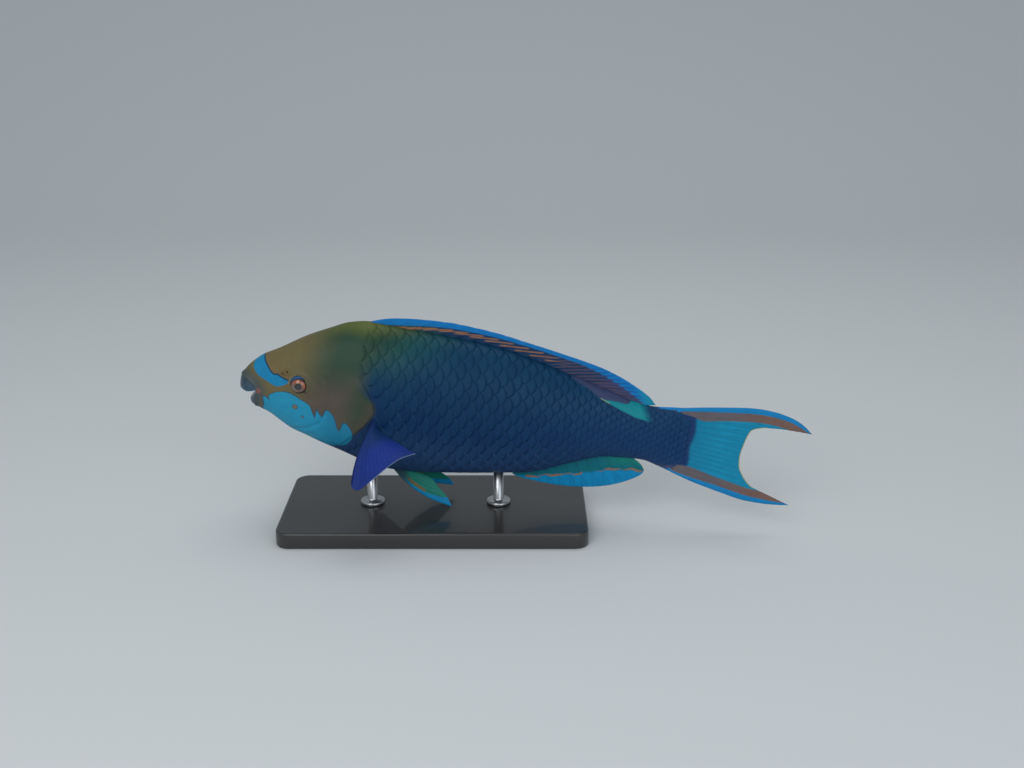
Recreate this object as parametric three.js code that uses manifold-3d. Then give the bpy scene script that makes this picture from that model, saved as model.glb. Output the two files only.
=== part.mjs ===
// A greenthroat parrotfish, terminal male, as a still life-size model on a plain display stand.
// Units are millimetres. The fish is shaped in a frame of its own: x runs from the tip of the snout to the
// tail, z is up and y is across, with the fish's left side at -y. It is then bent, tilted and set on the
// stand. The finished part has +Z up, and its origin lies under the middle of its box, on the floor.
import * as THREE from "three";
import { mergeVertices } from "three/addons/utils/BufferGeometryUtils.js";
import Module from "manifold-3d";

const wasm = await Module();
wasm.setup();

// Driving dimensions of the pose.
const TAIL_SWING = 40; // how far the tail's tips swing to the left
const SWING_START = 200; // where along the body the swing begins
const TOTAL_LENGTH = 550;
const PITCH = THREE.MathUtils.degToRad(7); // nose up

// The gap between two touching nodes.
const GAP = 0.3;

// Profiles of the body, each a list of [x, value]: the back's and belly's heights, the half width, the level
// of the widest point, and the roundness of the section above and below it, where 2 is an ellipse.
const BODY_END = 430;
const BACK = profile([
  [0, 5], [1, 9], [8, 19.6], [19, 29.6], [35, 38.4], [63, 55.3], [82, 64.3], [100, 72], [119, 75],
  [152, 73], [200, 69.8], [240, 66], [284, 56.5], [346, 39.2], [396, 27.6], [BODY_END, 30.5],
]);
const BELLY = profile([
  [0, -5], [3, -10.5], [8, -15.8], [13, -19.8], [21, -24], [30, -27.5], [50, -39.5], [71, -47.6],
  [101, -57.6], [152, -71.5], [172, -72], [212, -68.8], [269, -61.7], [291, -58], [329, -42.6],
  [362, -31], [396, -28.6], [BODY_END, -36],
]);
const HALF_WIDTH = profile([
  [0, 3.5], [3, 9.5], [10, 13], [20, 16], [40, 22], [60, 26.5], [90, 32], [130, 36.5], [170, 38.5],
  [220, 37.5], [280, 31], [330, 22], [380, 12.5], [410, 7.5], [BODY_END, 2.4],
]);
const WIDEST_LEVEL = profile([[0, 1], [30, 3], [60, 4], [130, 4], [200, 2], [330, 1], [BODY_END, -3]]);
const ROUND_ABOVE = profile([[0, 2.4], [60, 2.15], [130, 1.95], [BODY_END, 2]]);
const ROUND_BELOW = profile([[0, 2.4], [60, 2.2], [130, 2.2], [300, 2], [BODY_END, 2]]);

// The rear edge of the gill cover and, above it, the border between head and trunk, as [x, z].
const GILL_EDGE = new THREE.SplineCurve(
  [[118, 95], [118, 74], [114, 50], [115, 30], [126, 14], [133, -3], [127, -15], [116, -29],
    [105, -41], [94, -53], [86, -75]].map(([x, z]) => new THREE.Vector2(x, z)),
).getPoints(32);
const GILL_LIFT = 1.3; // how far the gill cover's edge stands above the trunk
const GILL_RAMP = 26; // the length over which it rises
const GILL_TOP = 30; // the heights between which it rises, and the length over which that fades
const GILL_BOTTOM = -54;
const GILL_FADE = 14;

// The mouth, as [x, z]: the line of the lips, and the gape between the two beaks.
const UPPER_LIP = [[-10, 10.6], [1, 9.6], [8.5, 7], [14.5, 3], [18.6, -2.5], [18, -6.5]];
const LOWER_LIP = [[17, -9], [16.5, -20], [15, -34]];
const GAPE = [
  [-8, -6.4], [2, -6.9], [7, -8.7], [12, -7.6], [15.3, -6], [18.1, -6.4], [14, -10.2],
  [10.9, -13], [10.4, -16], [8, -34], [-8, -34],
];
const LIP_RELIEF = 1.1;
const LIP_WIDTH = 2;
const BEAK_INSET = 0.6;

// The eye, a flattened ball set deep in its socket.
const EYE = { x: 59.8, z: 10.8, radius: 9.5, flatness: 0.85, depth: 5, clearance: GAP };
const EYE_RIM = { radius: 8.5, tube: 1.3 };
const NOSTRILS = [
  { x: 42.5, z: 19.5, radius: 1 },
  { x: 47, z: 21.5, radius: 1.4 },
];

// Each fin: its counts of rays, and its sizes. A ray is a ridge raised on both faces of the membrane.
const RAY_SHARE = 0.18; // half of a ray's width as a share of the space from ray to ray
const FIN_SINK = 3; // how far a fin's root is carried into the body before the body is cut from it
const DORSAL = { rays: 19, from: 120.5, to: 386, lean: 0.13, root: 0.95, tip: 0.34, ridge: 0.5 };
const DORSAL_MARGIN = profile([
  [120, 75.6], [138, 79.8], [167, 82.8], [195, 82.8], [244, 76.2], [294, 68.3], [344, 58], [374, 47.1],
  [395, 35.6], [402, 29],
]);
const DORSAL_SWEEP = curve([[0, 30], [0.6, 38], [0.85, 29], [1, 14]]);
const ANAL = { rays: 12, from: 272, to: 384, root: 0.95, tip: 0.34, ridge: 0.45 };
const ANAL_MARGIN = [[284, -68.4], [312, -69.9], [350, -66], [378, -58], [394, -49.5], [401, -42.5]];
const PELVIC = { rays: 6, root: 1.1, tip: 0.35, ridge: 0.4, bulge: 8.5 };
const PELVIC_ROOT = [[152.5, -8, -66], [162, -8, -67]];
const PELVIC_MARGIN = [
  [218, -28, -94.4], [212, -24.5, -86], [203, -19.5, -79.2], [196, -15, -73.5], [190, -12, -71.6],
];
const PECTORAL = { rays: 13, root: 1.4, tip: 0.32, ridge: 0.4, billow: 3 };
const PECTORAL_ROOT = [[134.8, -8.5], [136.5, -23]];
const PECTORAL_MARGIN = [
  [123.1, -96, -52.7], [125, -99, -56.8], [130.2, -100, -57.9], [138.7, -96, -51.8], [152.8, -86, -39.8],
  [163.9, -78, -32], [178.6, -70, -27.2],
];
const PECTORAL_LEAD_BULGE = new THREE.Vector3(-4.5, -2, -4.5);
const CAUDAL = { rays: 15, root: 1.9, tip: 0.36, ridge: 0.5, upperSplit: 0.3, lowerSplit: 0.72 };
const CAUDAL_MARGIN = [
  [0, 550, 26.6], [0.06, 530, 26.4], [0.13, 508, 24.4], [0.21, 495, 19], [0.32, 491, 6], [0.46, 489, -8],
  [0.6, 490, -18], [0.72, 495, -27.5], [0.82, 505, -37], [0.91, 522, -42.6], [1, 542, -48.7],
];
const CAUDAL_BULGE = { upper: 13.3, lower: 7.9, reach: 0.25, skew: 1.35 };

// The stand, in the finished part's directions.
const STAND = {
  length: 300,
  width: 150,
  height: 16,
  corner: 14,
  chamfer: 2,
  rodRadius: 5,
  flangeRadius: 12,
  flangeHeight: 4,
  frontRod: 124, // where along the fish each rod meets the belly
  rearRod: 250,
  clearance: 8, // from the lowest fin tip to the base
};

const COLOURS = {
  head: "#56603f",
  trunk: "#133259",
  tail: "#1a385f",
  caudal: "#1c87a6",
  dorsal: "#0b73c0",
  anal: "#0d7aa2",
  pectoral: "#25358a",
  pelvic: "#1d7a78",
  beak: "#5d8388",
  eye: "#8f5a3c",
  base: "#2b2b2d",
  rod: "#b4b6b8",
};

// Monotone cubic through [x, value] pairs. With the root of x as its variable it is blunt at x = 0.
function curve(points, scale = (x) => x) {
  const xs = points.map(([x]) => scale(x));
  const ys = points.map(([, y]) => y);
  const last = xs.length - 1;
  const slopes = xs.slice(1).map((x, i) => (ys[i + 1] - ys[i]) / (x - xs[i]));
  const tangents = xs.map((_, i) => {
    if (i === 0) return slopes[0];
    if (i === last) return slopes[last - 1];
    const [before, after] = [slopes[i - 1], slopes[i]];
    return before * after <= 0 ? 0 : (2 * before * after) / (before + after);
  });
  return (x) => {
    const at = THREE.MathUtils.clamp(scale(x), xs[0], xs[last]);
    const found = xs.findIndex((edge) => edge >= at);
    const i = Math.max(found, 1) - 1;
    const width = xs[i + 1] - xs[i];
    const t = (at - xs[i]) / width;
    const rest = 1 - t;
    return (
      rest * rest * (1 + 2 * t) * ys[i] +
      t * t * (3 - 2 * t) * ys[i + 1] +
      width * t * rest * (rest * tangents[i] - t * tangents[i + 1])
    );
  };
}

function profile(points) {
  return curve(points, (x) => Math.sqrt(Math.max(x, 0)));
}

function smoothstep(x, from, to) {
  return THREE.MathUtils.smoothstep(x, from, to);
}

function bump(distance, width) {
  return Math.exp(-((distance / width) ** 2));
}

// The signed power that shapes a section, a superellipse.
function shaped(value, roundness) {
  return Math.sign(value) * Math.abs(value) ** (2 / roundness);
}

// A point of the body's surface, at x and at an angle round the section from the fish's right side over its
// back. inset draws the section in.
function bodyPoint(x, angle, inset = 0) {
  const [across, up] = [Math.cos(angle), Math.sin(angle)];
  const level = WIDEST_LEVEL(x);
  const reach = up > 0 ? BACK(x) - level : level - BELLY(x);
  const roundness = up > 0 ? ROUND_ABOVE(x) : ROUND_BELOW(x);
  return new THREE.Vector3(
    x,
    (HALF_WIDTH(x) - inset) * shaped(across, roundness),
    level + (reach - inset) * shaped(up, roundness),
  );
}

// The body's half width at x and height z.
function surfaceY(x, z) {
  const level = WIDEST_LEVEL(x);
  const above = z > level;
  const reach = above ? BACK(x) - level : level - BELLY(x);
  const roundness = above ? ROUND_ABOVE(x) : ROUND_BELOW(x);
  const share = Math.min(Math.abs(z - level) / reach, 1);
  return HALF_WIDTH(x) * (1 - share ** roundness) ** (1 / roundness);
}

function surfaceNormal(x, angle) {
  const step = 0.05;
  const along = bodyPoint(x + step, angle).sub(bodyPoint(Math.max(x - step, 0), angle));
  const around = bodyPoint(x, angle + step).sub(bodyPoint(x, angle - step));
  return around.cross(along).normalize();
}

// The shortest distance in the side view from a point to a line of [x, z] points.
function distanceTo(points, x, z) {
  const at = new THREE.Vector2(x, z);
  let least = Infinity;
  points.slice(1).forEach((end, i) => {
    const [a, b] = [new THREE.Vector2(...points[i]), new THREE.Vector2(...end)];
    const edge = b.sub(a);
    const t = THREE.MathUtils.clamp(at.clone().sub(a).dot(edge) / edge.lengthSq(), 0, 1);
    least = Math.min(least, at.distanceTo(a.addScaledVector(edge, t)));
  });
  return least;
}

// The head stands above the plain body at its lips and along the edge of its gill cover.
function headPoint(x, angle) {
  const point = bodyPoint(x, angle);
  const edge = GILL_EDGE.map((p) => [p.x, p.y]);
  const lips = LIP_RELIEF * bump(distanceTo([...UPPER_LIP, ...LOWER_LIP], x, point.z), LIP_WIDTH);
  const rise = 1 - smoothstep(distanceTo(edge, x, point.z), 0, GILL_RAMP);
  const below = smoothstep(point.z, GILL_BOTTOM, GILL_BOTTOM + GILL_FADE);
  const above = 1 - smoothstep(point.z, GILL_TOP - GILL_FADE, GILL_TOP);
  point.addScaledVector(surfaceNormal(x, angle), lips);
  point.y += Math.sign(point.y) * GILL_LIFT * rise * below * above;
  return point;
}

// A closed solid through rings of points, with a fan over each end.
function loft(stations, segments, pointAt) {
  const vertices = [];
  const faces = [];
  stations.forEach((x) => {
    for (let k = 0; k < segments; k += 1) vertices.push(pointAt(x, (2 * Math.PI * k) / segments));
  });
  const ring = (i, k) => i * segments + (k % segments);
  for (let i = 0; i + 1 < stations.length; i += 1) {
    for (let k = 0; k < segments; k += 1) {
      faces.push([ring(i, k), ring(i + 1, k), ring(i + 1, k + 1)]);
      faces.push([ring(i, k), ring(i + 1, k + 1), ring(i, k + 1)]);
    }
  }
  [0, stations.length - 1].forEach((i) => {
    const centre = vertices.length;
    const middle = new THREE.Vector3();
    for (let k = 0; k < segments; k += 1) middle.addScaledVector(vertices[ring(i, k)], 1 / segments);
    vertices.push(middle);
    for (let k = 0; k < segments; k += 1) {
      const edge = [ring(i, k), ring(i, k + 1)];
      faces.push(i === 0 ? [centre, ...edge] : [centre, ...edge.reverse()]);
    }
  });
  return closedMesh(vertices, faces);
}

// Indexed geometry from points and faces, turned outwards.
function closedMesh(vertices, faces) {
  const [a, b, c] = [new THREE.Vector3(), new THREE.Vector3(), new THREE.Vector3()];
  const volume = faces.reduce((sum, [i, j, k]) => {
    a.copy(vertices[i]);
    b.copy(vertices[j]);
    c.copy(vertices[k]);
    return sum + a.dot(b.cross(c));
  }, 0);
  const turned = volume < 0 ? faces.map(([i, j, k]) => [i, k, j]) : faces;
  return new THREE.BufferGeometry()
    .setAttribute("position", new THREE.Float32BufferAttribute(vertices.flatMap((v) => v.toArray()), 3))
    .setIndex(turned.flat());
}

function solid(geometry) {
  const bare = geometry.clone();
  bare.deleteAttribute("normal");
  bare.deleteAttribute("uv");
  const merged = mergeVertices(bare, 1e-4);
  return new wasm.Manifold(
    new wasm.Mesh({
      numProp: 3,
      vertProperties: new Float32Array(merged.getAttribute("position").array),
      triVerts: new Uint32Array(merged.index.array),
    }),
  );
}

// The largest closed body of a solid, as geometry.
function geometryOf(body) {
  const largest = body.decompose().reduce((a, b) => (a.volume() > b.volume() ? a : b));
  const mesh = largest.getMesh();
  return new THREE.BufferGeometry()
    .setAttribute("position", new THREE.BufferAttribute(mesh.vertProperties, 3))
    .setIndex(new THREE.BufferAttribute(mesh.triVerts, 1));
}

// A prism across the body over an outline of [x, z] points in the side view.
function slab(points) {
  const width = 160;
  const outline = new THREE.Shape(points.map(([x, z]) => new THREE.Vector2(x, z)));
  return solid(
    new THREE.ExtrudeGeometry(outline, { depth: width, bevelEnabled: false })
      .rotateX(Math.PI / 2)
      .translate(0, width / 2, 0),
  );
}

function ellipsoid(centre, radii, columns, rows) {
  return solid(
    new THREE.SphereGeometry(1, columns, rows).scale(...radii).translate(centre.x, centre.y, centre.z),
  );
}

// Even steps from one end to the other, both ends included.
function steps(from, to, count) {
  return Array.from({ length: count + 1 }, (_, i) => from + ((to - from) * i) / count);
}

// The columns of a fin from u = from to u = to: three for each ray, its crest and its two feet.
function rayColumns(rays, from = 0, to = 1) {
  const inside = Array.from({ length: rays }, (_, i) => (i + 0.5) / rays).flatMap((middle) => [
    { u: middle - RAY_SHARE / rays, ray: false },
    { u: middle, ray: true },
    { u: middle + RAY_SHARE / rays, ray: false },
  ]);
  const margin = RAY_SHARE / rays / 2;
  return [
    { u: from, ray: false },
    ...inside.filter(({ u }) => u > from + margin && u < to - margin),
    { u: to, ray: false },
  ];
}

// A thin closed solid over a sheet of points, with the same triangles on both faces.
function fin(columns, rows, middle, half) {
  const vertices = [];
  const faces = [];
  const tall = rows.length;
  const across = (u, t) => {
    const step = 0.02;
    const along = middle(Math.min(u + step, 1), t).sub(middle(Math.max(u - step, 0), t));
    const out = middle(u, Math.min(t + step, 1)).sub(middle(u, Math.max(t - step, 0)));
    return along.cross(out).normalize();
  };
  [1, -1].forEach((side) => {
    columns.forEach(({ u, ray }) => {
      rows.forEach((t) => {
        const reach = side * half(t, ray);
        vertices.push(middle(u, t).addScaledVector(across(u, t), reach));
      });
    });
  });
  const face = columns.length * tall;
  const at = (i, j, side) => (side > 0 ? 0 : face) + i * tall + j;
  for (let i = 0; i + 1 < columns.length; i += 1) {
    for (let j = 0; j + 1 < tall; j += 1) {
      faces.push([at(i, j, 1), at(i + 1, j, 1), at(i + 1, j + 1, 1)]);
      faces.push([at(i, j, 1), at(i + 1, j + 1, 1), at(i, j + 1, 1)]);
      faces.push([at(i, j, -1), at(i + 1, j + 1, -1), at(i + 1, j, -1)]);
      faces.push([at(i, j, -1), at(i, j + 1, -1), at(i + 1, j + 1, -1)]);
    }
  }
  const wall = (a, b) => {
    faces.push([at(...b, 1), at(...a, 1), at(...a, -1)]);
    faces.push([at(...b, 1), at(...a, -1), at(...b, -1)]);
  };
  const [lastColumn, lastRow] = [columns.length - 1, tall - 1];
  for (let i = 0; i < lastColumn; i += 1) {
    wall([i, 0], [i + 1, 0]);
    wall([i + 1, lastRow], [i, lastRow]);
  }
  for (let j = 0; j < lastRow; j += 1) {
    wall([0, j + 1], [0, j]);
    wall([lastColumn, j], [lastColumn, j + 1]);
  }
  return solid(closedMesh(vertices, faces));
}

// Half of a fin's thickness, from root to tip, with the ray's ridge on top.
function finThickness({ root, tip, ridge }) {
  return (t, ray) => THREE.MathUtils.lerp(root, tip, t) + (ray ? ridge * (1 - 0.6 * t) : 0);
}

// A smooth path through points of the margin, as a function of 0 to 1.
function path(points) {
  const spline = new THREE.CatmullRomCurve3(points.map((p) => new THREE.Vector3(...p)), false, "centripetal");
  return (u) => spline.getPointAt(u);
}

function dorsalFin(body) {
  const root = (u) => {
    const x = THREE.MathUtils.lerp(DORSAL.from, DORSAL.to, u);
    return new THREE.Vector3(x, 0, BACK(x) - FIN_SINK);
  };
  const middle = (u, t) => {
    const start = root(u);
    const x = start.x + DORSAL_SWEEP(u);
    const point = start.clone().lerp(new THREE.Vector3(x, 0, DORSAL_MARGIN(x)), t);
    point.y = -DORSAL.lean * u * Math.max(point.z - BACK(start.x), 0);
    return point;
  };
  const blade = fin(rayColumns(DORSAL.rays), steps(0, 1, 3), middle, finThickness(DORSAL));
  return blade.subtract(body.translate([0, 0, GAP]));
}

function analFin(body) {
  const margin = path(ANAL_MARGIN.map(([x, z]) => [x, 0, z]));
  const middle = (u, t) => {
    const x = THREE.MathUtils.lerp(ANAL.from, ANAL.to, u);
    return new THREE.Vector3(x, 0, BELLY(x) + FIN_SINK).lerp(margin(u), t);
  };
  const blade = fin(rayColumns(ANAL.rays), steps(0, 1, 3), middle, finThickness(ANAL));
  return blade.subtract(body.translate([0, 0, -GAP]));
}

function pelvicFin(body) {
  const margin = path(PELVIC_MARGIN);
  const [front, back] = PELVIC_ROOT.map((p) => new THREE.Vector3(...p));
  const middle = (u, t) => {
    const point = front.clone().lerp(back, u).lerp(margin(u), t);
    point.z -= PELVIC.bulge * (1 - u) ** 2 * Math.sin(Math.PI * t ** 0.9);
    return point;
  };
  const blade = fin(rayColumns(PELVIC.rays), steps(0, 1, 6), middle, finThickness(PELVIC));
  return blade.subtract(body.translate([0, 0, -GAP]));
}

function pectoralFin(body) {
  const margin = path(PECTORAL_MARGIN);
  const [front, back] = PECTORAL_ROOT.map(
    ([x, z]) => new THREE.Vector3(x, FIN_SINK - surfaceY(x, z), z),
  );
  const middle = (u, t) => {
    const point = front.clone().lerp(back, u).lerp(margin(u), t);
    point.addScaledVector(PECTORAL_LEAD_BULGE, (1 - u) ** 2 * Math.sin(Math.PI * t));
    point.y -= PECTORAL.billow * Math.sin(Math.PI * t) * Math.sin(Math.PI * u);
    return point;
  };
  const blade = fin(rayColumns(PECTORAL.rays), steps(0, 1, 5), middle, finThickness(PECTORAL));
  return blade.subtract(body.translate([0, -GAP, 0]));
}

// The tail fin between two shares of its height, from its upper edge at 0 to its lower edge at 1.
function caudalFin(from, to) {
  const xs = curve(CAUDAL_MARGIN.map(([v, x]) => [v, x]));
  const zs = curve(CAUDAL_MARGIN.map(([v, , z]) => [v, z]));
  const start = BODY_END + GAP;
  const middle = (v, t) => {
    const root = new THREE.Vector3(start, 0, THREE.MathUtils.lerp(BACK(BODY_END), BELLY(BODY_END), v));
    const point = root.lerp(new THREE.Vector3(xs(v), 0, zs(v)), t);
    const { upper, lower, reach, skew } = CAUDAL_BULGE;
    const swell = Math.sin(Math.PI * t ** skew);
    point.z += upper * Math.max(1 - v / reach, 0) ** 2 * swell;
    point.z -= lower * Math.max(1 - (1 - v) / reach, 0) ** 2 * swell;
    return point;
  };
  return fin(rayColumns(CAUDAL.rays, from, to), steps(0, 1, 7), middle, finThickness(CAUDAL));
}

function mirrored(geometry) {
  const copy = geometry.clone().scale(1, -1, 1);
  const order = copy.index.array;
  for (let i = 0; i < order.length; i += 3) [order[i + 1], order[i + 2]] = [order[i + 2], order[i + 1]];
  return copy;
}

function eyeCentre(side) {
  return new THREE.Vector3(EYE.x, side * (surfaceY(EYE.x, EYE.z) - EYE.depth), EYE.z);
}

function eyeball(side, clearance = 0) {
  const radius = EYE.radius + clearance;
  return ellipsoid(eyeCentre(side), [radius, EYE.radius * EYE.flatness + clearance, radius], 20, 12);
}

// The rim round the eye, a flat ring that lies on the head's side.
function eyeRim(side) {
  const y = surfaceY(EYE.x, EYE.z);
  const slope = surfaceY(EYE.x + 1, EYE.z) - y;
  return solid(
    new THREE.TorusGeometry(EYE_RIM.radius, EYE_RIM.tube, 8, 28)
      .rotateX(Math.PI / 2)
      .rotateZ(side * Math.atan(slope))
      .translate(EYE.x, side * y, EYE.z),
  );
}

function headSolid() {
  const stations = [0, 0.7, 2, ...steps(4, 30, 13), ...steps(35, 140, 21)];
  const front = GILL_EDGE.map((p) => [p.x - GAP, p.y]);
  const whole = solid(loft(stations, 44, headPoint)).intersect(slab([[-20, 95], ...front, [-20, -75]]));
  const mouth = [...UPPER_LIP, ...LOWER_LIP].map(([x, z]) => [x + GAP, z + GAP]);
  let head = whole.subtract(slab([[-20, 10.6 + GAP], ...mouth, [-20, -34]]));
  [-1, 1].forEach((side) => {
    head = head.add(eyeRim(side)).subtract(eyeball(side, EYE.clearance));
    NOSTRILS.forEach(({ x, z, radius }) => {
      const centre = new THREE.Vector3(x, side * surfaceY(x, z), z);
      head = head.subtract(ellipsoid(centre, [radius, radius * 1.3, radius], 8, 6));
    });
  });
  return head;
}

// Both beaks are cut from one drawn-in snout: what the lips enclose, without the gape.
function beakSolids() {
  const snout = solid(
    loft([0, 0.7, 2, ...steps(4, 24, 10)], 32, (x, angle) => bodyPoint(x, angle, BEAK_INSET)),
  );
  const enclosed = snout.intersect(slab([[-20, 10.6], ...UPPER_LIP, ...LOWER_LIP, [-20, -34]]));
  return enclosed
    .subtract(slab(GAPE))
    .decompose()
    .sort((a, b) => b.boundingBox().max[2] - a.boundingBox().max[2]);
}

// Bends the tail to the left, then tilts the nose up.
function posed(geometry) {
  const points = geometry.getAttribute("position");
  for (let i = 0; i < points.count; i += 1) {
    const past = Math.max(points.getX(i) - SWING_START, 0) / (TOTAL_LENGTH - SWING_START);
    points.setY(i, points.getY(i) - TAIL_SWING * past * past);
  }
  return geometry.rotateY(PITCH);
}

function fishGeometries() {
  const body = solid(loft([...steps(80, 320, 24), 329.85, 330.15, ...steps(340, BODY_END, 9)], 40, bodyPoint));
  const behindGills = GILL_EDGE.map((p) => [p.x, p.y]);
  const trunk = body.intersect(slab([...behindGills, [330 - GAP / 2, -95], [330 - GAP / 2, 95]]));
  const tail = body.intersect(slab([[330 + GAP / 2, -95], [440, -95], [440, 95], [330 + GAP / 2, 95]]));
  const head = headSolid();
  const [upperBeak, lowerBeak] = beakSolids();
  const { upperSplit, lowerSplit } = CAUDAL;
  const seam = 0.0025; // half of the gap between two parts of the tail fin, as a share of its height
  const pectoral = pectoralFin(body).subtract(head.translate([0, -GAP, 0]));
  const pieces = {
    head,
    beak_upper: upperBeak,
    beak_lower: lowerBeak,
    trunk,
    tail,
    dorsal_fin: dorsalFin(body),
    anal_fin: analFin(body),
    caudal_lobe_upper: caudalFin(0, upperSplit - seam),
    caudal_fin_middle: caudalFin(upperSplit + seam, lowerSplit - seam),
    caudal_lobe_lower: caudalFin(lowerSplit + seam, 1),
    eye_left: eyeball(-1),
    eye_right: eyeball(1),
    pectoral_fin_left: pectoral,
    pelvic_fin_left: pelvicFin(body),
  };
  const shapes = Object.entries(pieces).map(([name, piece]) => [name, geometryOf(piece)]);
  const paired = shapes
    .filter(([name]) => name.endsWith("fin_left"))
    .map(([name, geometry]) => [name.replace("left", "right"), mirrored(geometry)]);
  return new Map([...shapes, ...paired].map(([name, geometry]) => [name, posed(geometry)]));
}

function baseGeometry(top) {
  const { length, width, height, corner, chamfer } = STAND;
  const [x, y] = [length / 2 - chamfer, width / 2 - chamfer];
  const outline = new THREE.Shape();
  outline.moveTo(-x + corner, -y);
  outline.lineTo(x - corner, -y);
  outline.absarc(x - corner, -y + corner, corner, -Math.PI / 2, 0);
  outline.absarc(x - corner, y - corner, corner, 0, Math.PI / 2);
  outline.absarc(-x + corner, y - corner, corner, Math.PI / 2, Math.PI);
  outline.absarc(-x + corner, -y + corner, corner, Math.PI, 1.5 * Math.PI);
  const middle = (STAND.frontRod + STAND.rearRod) / 2;
  return new THREE.ExtrudeGeometry(outline, {
    depth: height - 2 * chamfer,
    bevelThickness: chamfer,
    bevelSize: chamfer,
    bevelSegments: 1,
    curveSegments: 6,
  }).translate(middle, 0, top - height + chamfer);
}

// A rod with a flange at its foot, cut to the belly above it.
function rodGeometry(x, top, belly) {
  const { rodRadius, flangeRadius, flangeHeight } = STAND;
  const foot = top + GAP;
  const length = -40 - foot;
  const rod = new THREE.CylinderGeometry(rodRadius, rodRadius, length, 24)
    .rotateX(Math.PI / 2)
    .translate(x, 0, foot + length / 2);
  const flange = new THREE.CylinderGeometry(flangeRadius - 1, flangeRadius, flangeHeight, 32)
    .rotateX(Math.PI / 2)
    .translate(x, 0, foot + flangeHeight / 2);
  return geometryOf(solid(rod).add(solid(flange)).subtract(belly.translate([0, 0, -GAP])));
}

const materials = {
  skin: (colour) => new THREE.MeshStandardMaterial({ color: colour, roughness: 0.42, metalness: 0 }),
  gloss: (colour) => new THREE.MeshStandardMaterial({ color: colour, roughness: 0.12, metalness: 0 }),
  steel: (colour) => new THREE.MeshStandardMaterial({ color: colour, roughness: 0.3, metalness: 1 }),
};

function materialOf(name) {
  if (name === "stand_base") return materials.skin(COLOURS.base);
  if (name.startsWith("stand_rod")) return materials.steel(COLOURS.rod);
  const [family] = name.split("_");
  return family === "eye" ? materials.gloss(COLOURS.eye) : materials.skin(COLOURS[family]);
}

function makeParrotfish() {
  const geometries = fishGeometries();
  const box = new THREE.Box3();
  geometries.forEach((geometry) => {
    geometry.computeBoundingBox();
    box.union(geometry.boundingBox);
  });
  const top = box.min.z - STAND.clearance;
  const belly = solid(geometries.get("trunk"));
  geometries.set("stand_base", baseGeometry(top));
  geometries.set("stand_rod_front", rodGeometry(STAND.frontRod, top, belly));
  geometries.set("stand_rod_rear", rodGeometry(STAND.rearRod, top, belly));
  const group = new THREE.Group();
  geometries.forEach((geometry, name) => {
    const mesh = new THREE.Mesh(geometry, materialOf(name));
    mesh.name = name;
    group.add(mesh);
  });
  group.position.set(-(box.min.x + box.max.x) / 2, -(box.min.y + box.max.y) / 2, STAND.height - top);
  return group;
}

export default makeParrotfish();
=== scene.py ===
"""A greenthroat parrotfish, terminal male, dressed as a life-size museum model on its display stand.

The fish is shaped in a frame of its own, in millimetres: x runs from the tip of the snout to the tail, z is
up and y is across, with the fish's left side at -y. A pose then bends the tail, tilts the nose up and sets
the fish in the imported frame, in metres.
"""

import logging
import math
from dataclasses import dataclass
from enum import Enum
from typing import Callable, Sequence

import bmesh
import bpy
import numpy as np
from mathutils import Matrix, Vector

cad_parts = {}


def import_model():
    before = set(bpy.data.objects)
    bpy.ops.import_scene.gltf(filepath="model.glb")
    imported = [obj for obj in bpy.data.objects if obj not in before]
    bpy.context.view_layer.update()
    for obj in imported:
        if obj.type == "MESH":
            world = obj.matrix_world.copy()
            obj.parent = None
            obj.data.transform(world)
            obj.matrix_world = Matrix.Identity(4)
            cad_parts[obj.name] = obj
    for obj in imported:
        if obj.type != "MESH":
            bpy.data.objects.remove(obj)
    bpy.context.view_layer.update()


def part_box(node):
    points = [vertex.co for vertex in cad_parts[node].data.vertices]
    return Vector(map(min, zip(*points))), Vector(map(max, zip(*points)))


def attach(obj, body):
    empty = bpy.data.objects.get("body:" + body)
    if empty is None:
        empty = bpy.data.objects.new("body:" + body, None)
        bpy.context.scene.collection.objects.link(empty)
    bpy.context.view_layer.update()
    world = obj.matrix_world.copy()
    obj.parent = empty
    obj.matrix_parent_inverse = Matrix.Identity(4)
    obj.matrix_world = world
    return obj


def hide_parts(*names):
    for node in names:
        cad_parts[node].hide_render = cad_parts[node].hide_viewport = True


log = logging.getLogger("parrotfish")

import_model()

Array = np.ndarray
Traits = dict[str, Array]
Pair = tuple[float, float]
Triple = tuple[float, float, float]
Piece = bpy.types.Object
Material = bpy.types.Material
Tree = bpy.types.NodeTree
Socket = bpy.types.NodeSocket

MM = 0.001
# Points closer than this, in metres, are one point.
WELD = 1e-6
# Stands in for a length of 0 where something is divided by it.
TINY = 1e-12


class Side(Enum):
    """A side of the fish, with the sign of y there."""

    LEFT = -1
    RIGHT = 1


def linear(colour: str) -> tuple[float, float, float, float]:
    """Turn an sRGB hex colour into linear RGBA.

    Args:
        colour: the colour, such as "#1c87a6".

    Returns:
        Red, green, blue and an alpha of 1.
    """
    parts = [int(colour[i : i + 2], 16) / 255 for i in (1, 3, 5)]
    red, green, blue = (c / 12.92 if c <= 0.04045 else ((c + 0.055) / 1.055) ** 2.4 for c in parts)
    return red, green, blue, 1.0


def smooth(x: Array, low: float, high: float) -> Array:
    """Rise smoothly from 0 at low to 1 at high."""
    t = np.clip((x - low) / (high - low), 0.0, 1.0)
    return t * t * (3 - 2 * t)


def hump(distance: Array, width: float | Array) -> Array:
    """Fall off as a bell from 1 at no distance."""
    return np.exp(-((distance / width) ** 2))


def before(place: Array, edge: float | Array, width: float | Array = 1.0) -> Array:
    """Measure how far a place is short of an edge, in widths of the mark's soft rim."""
    return (edge - place) / width


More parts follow.
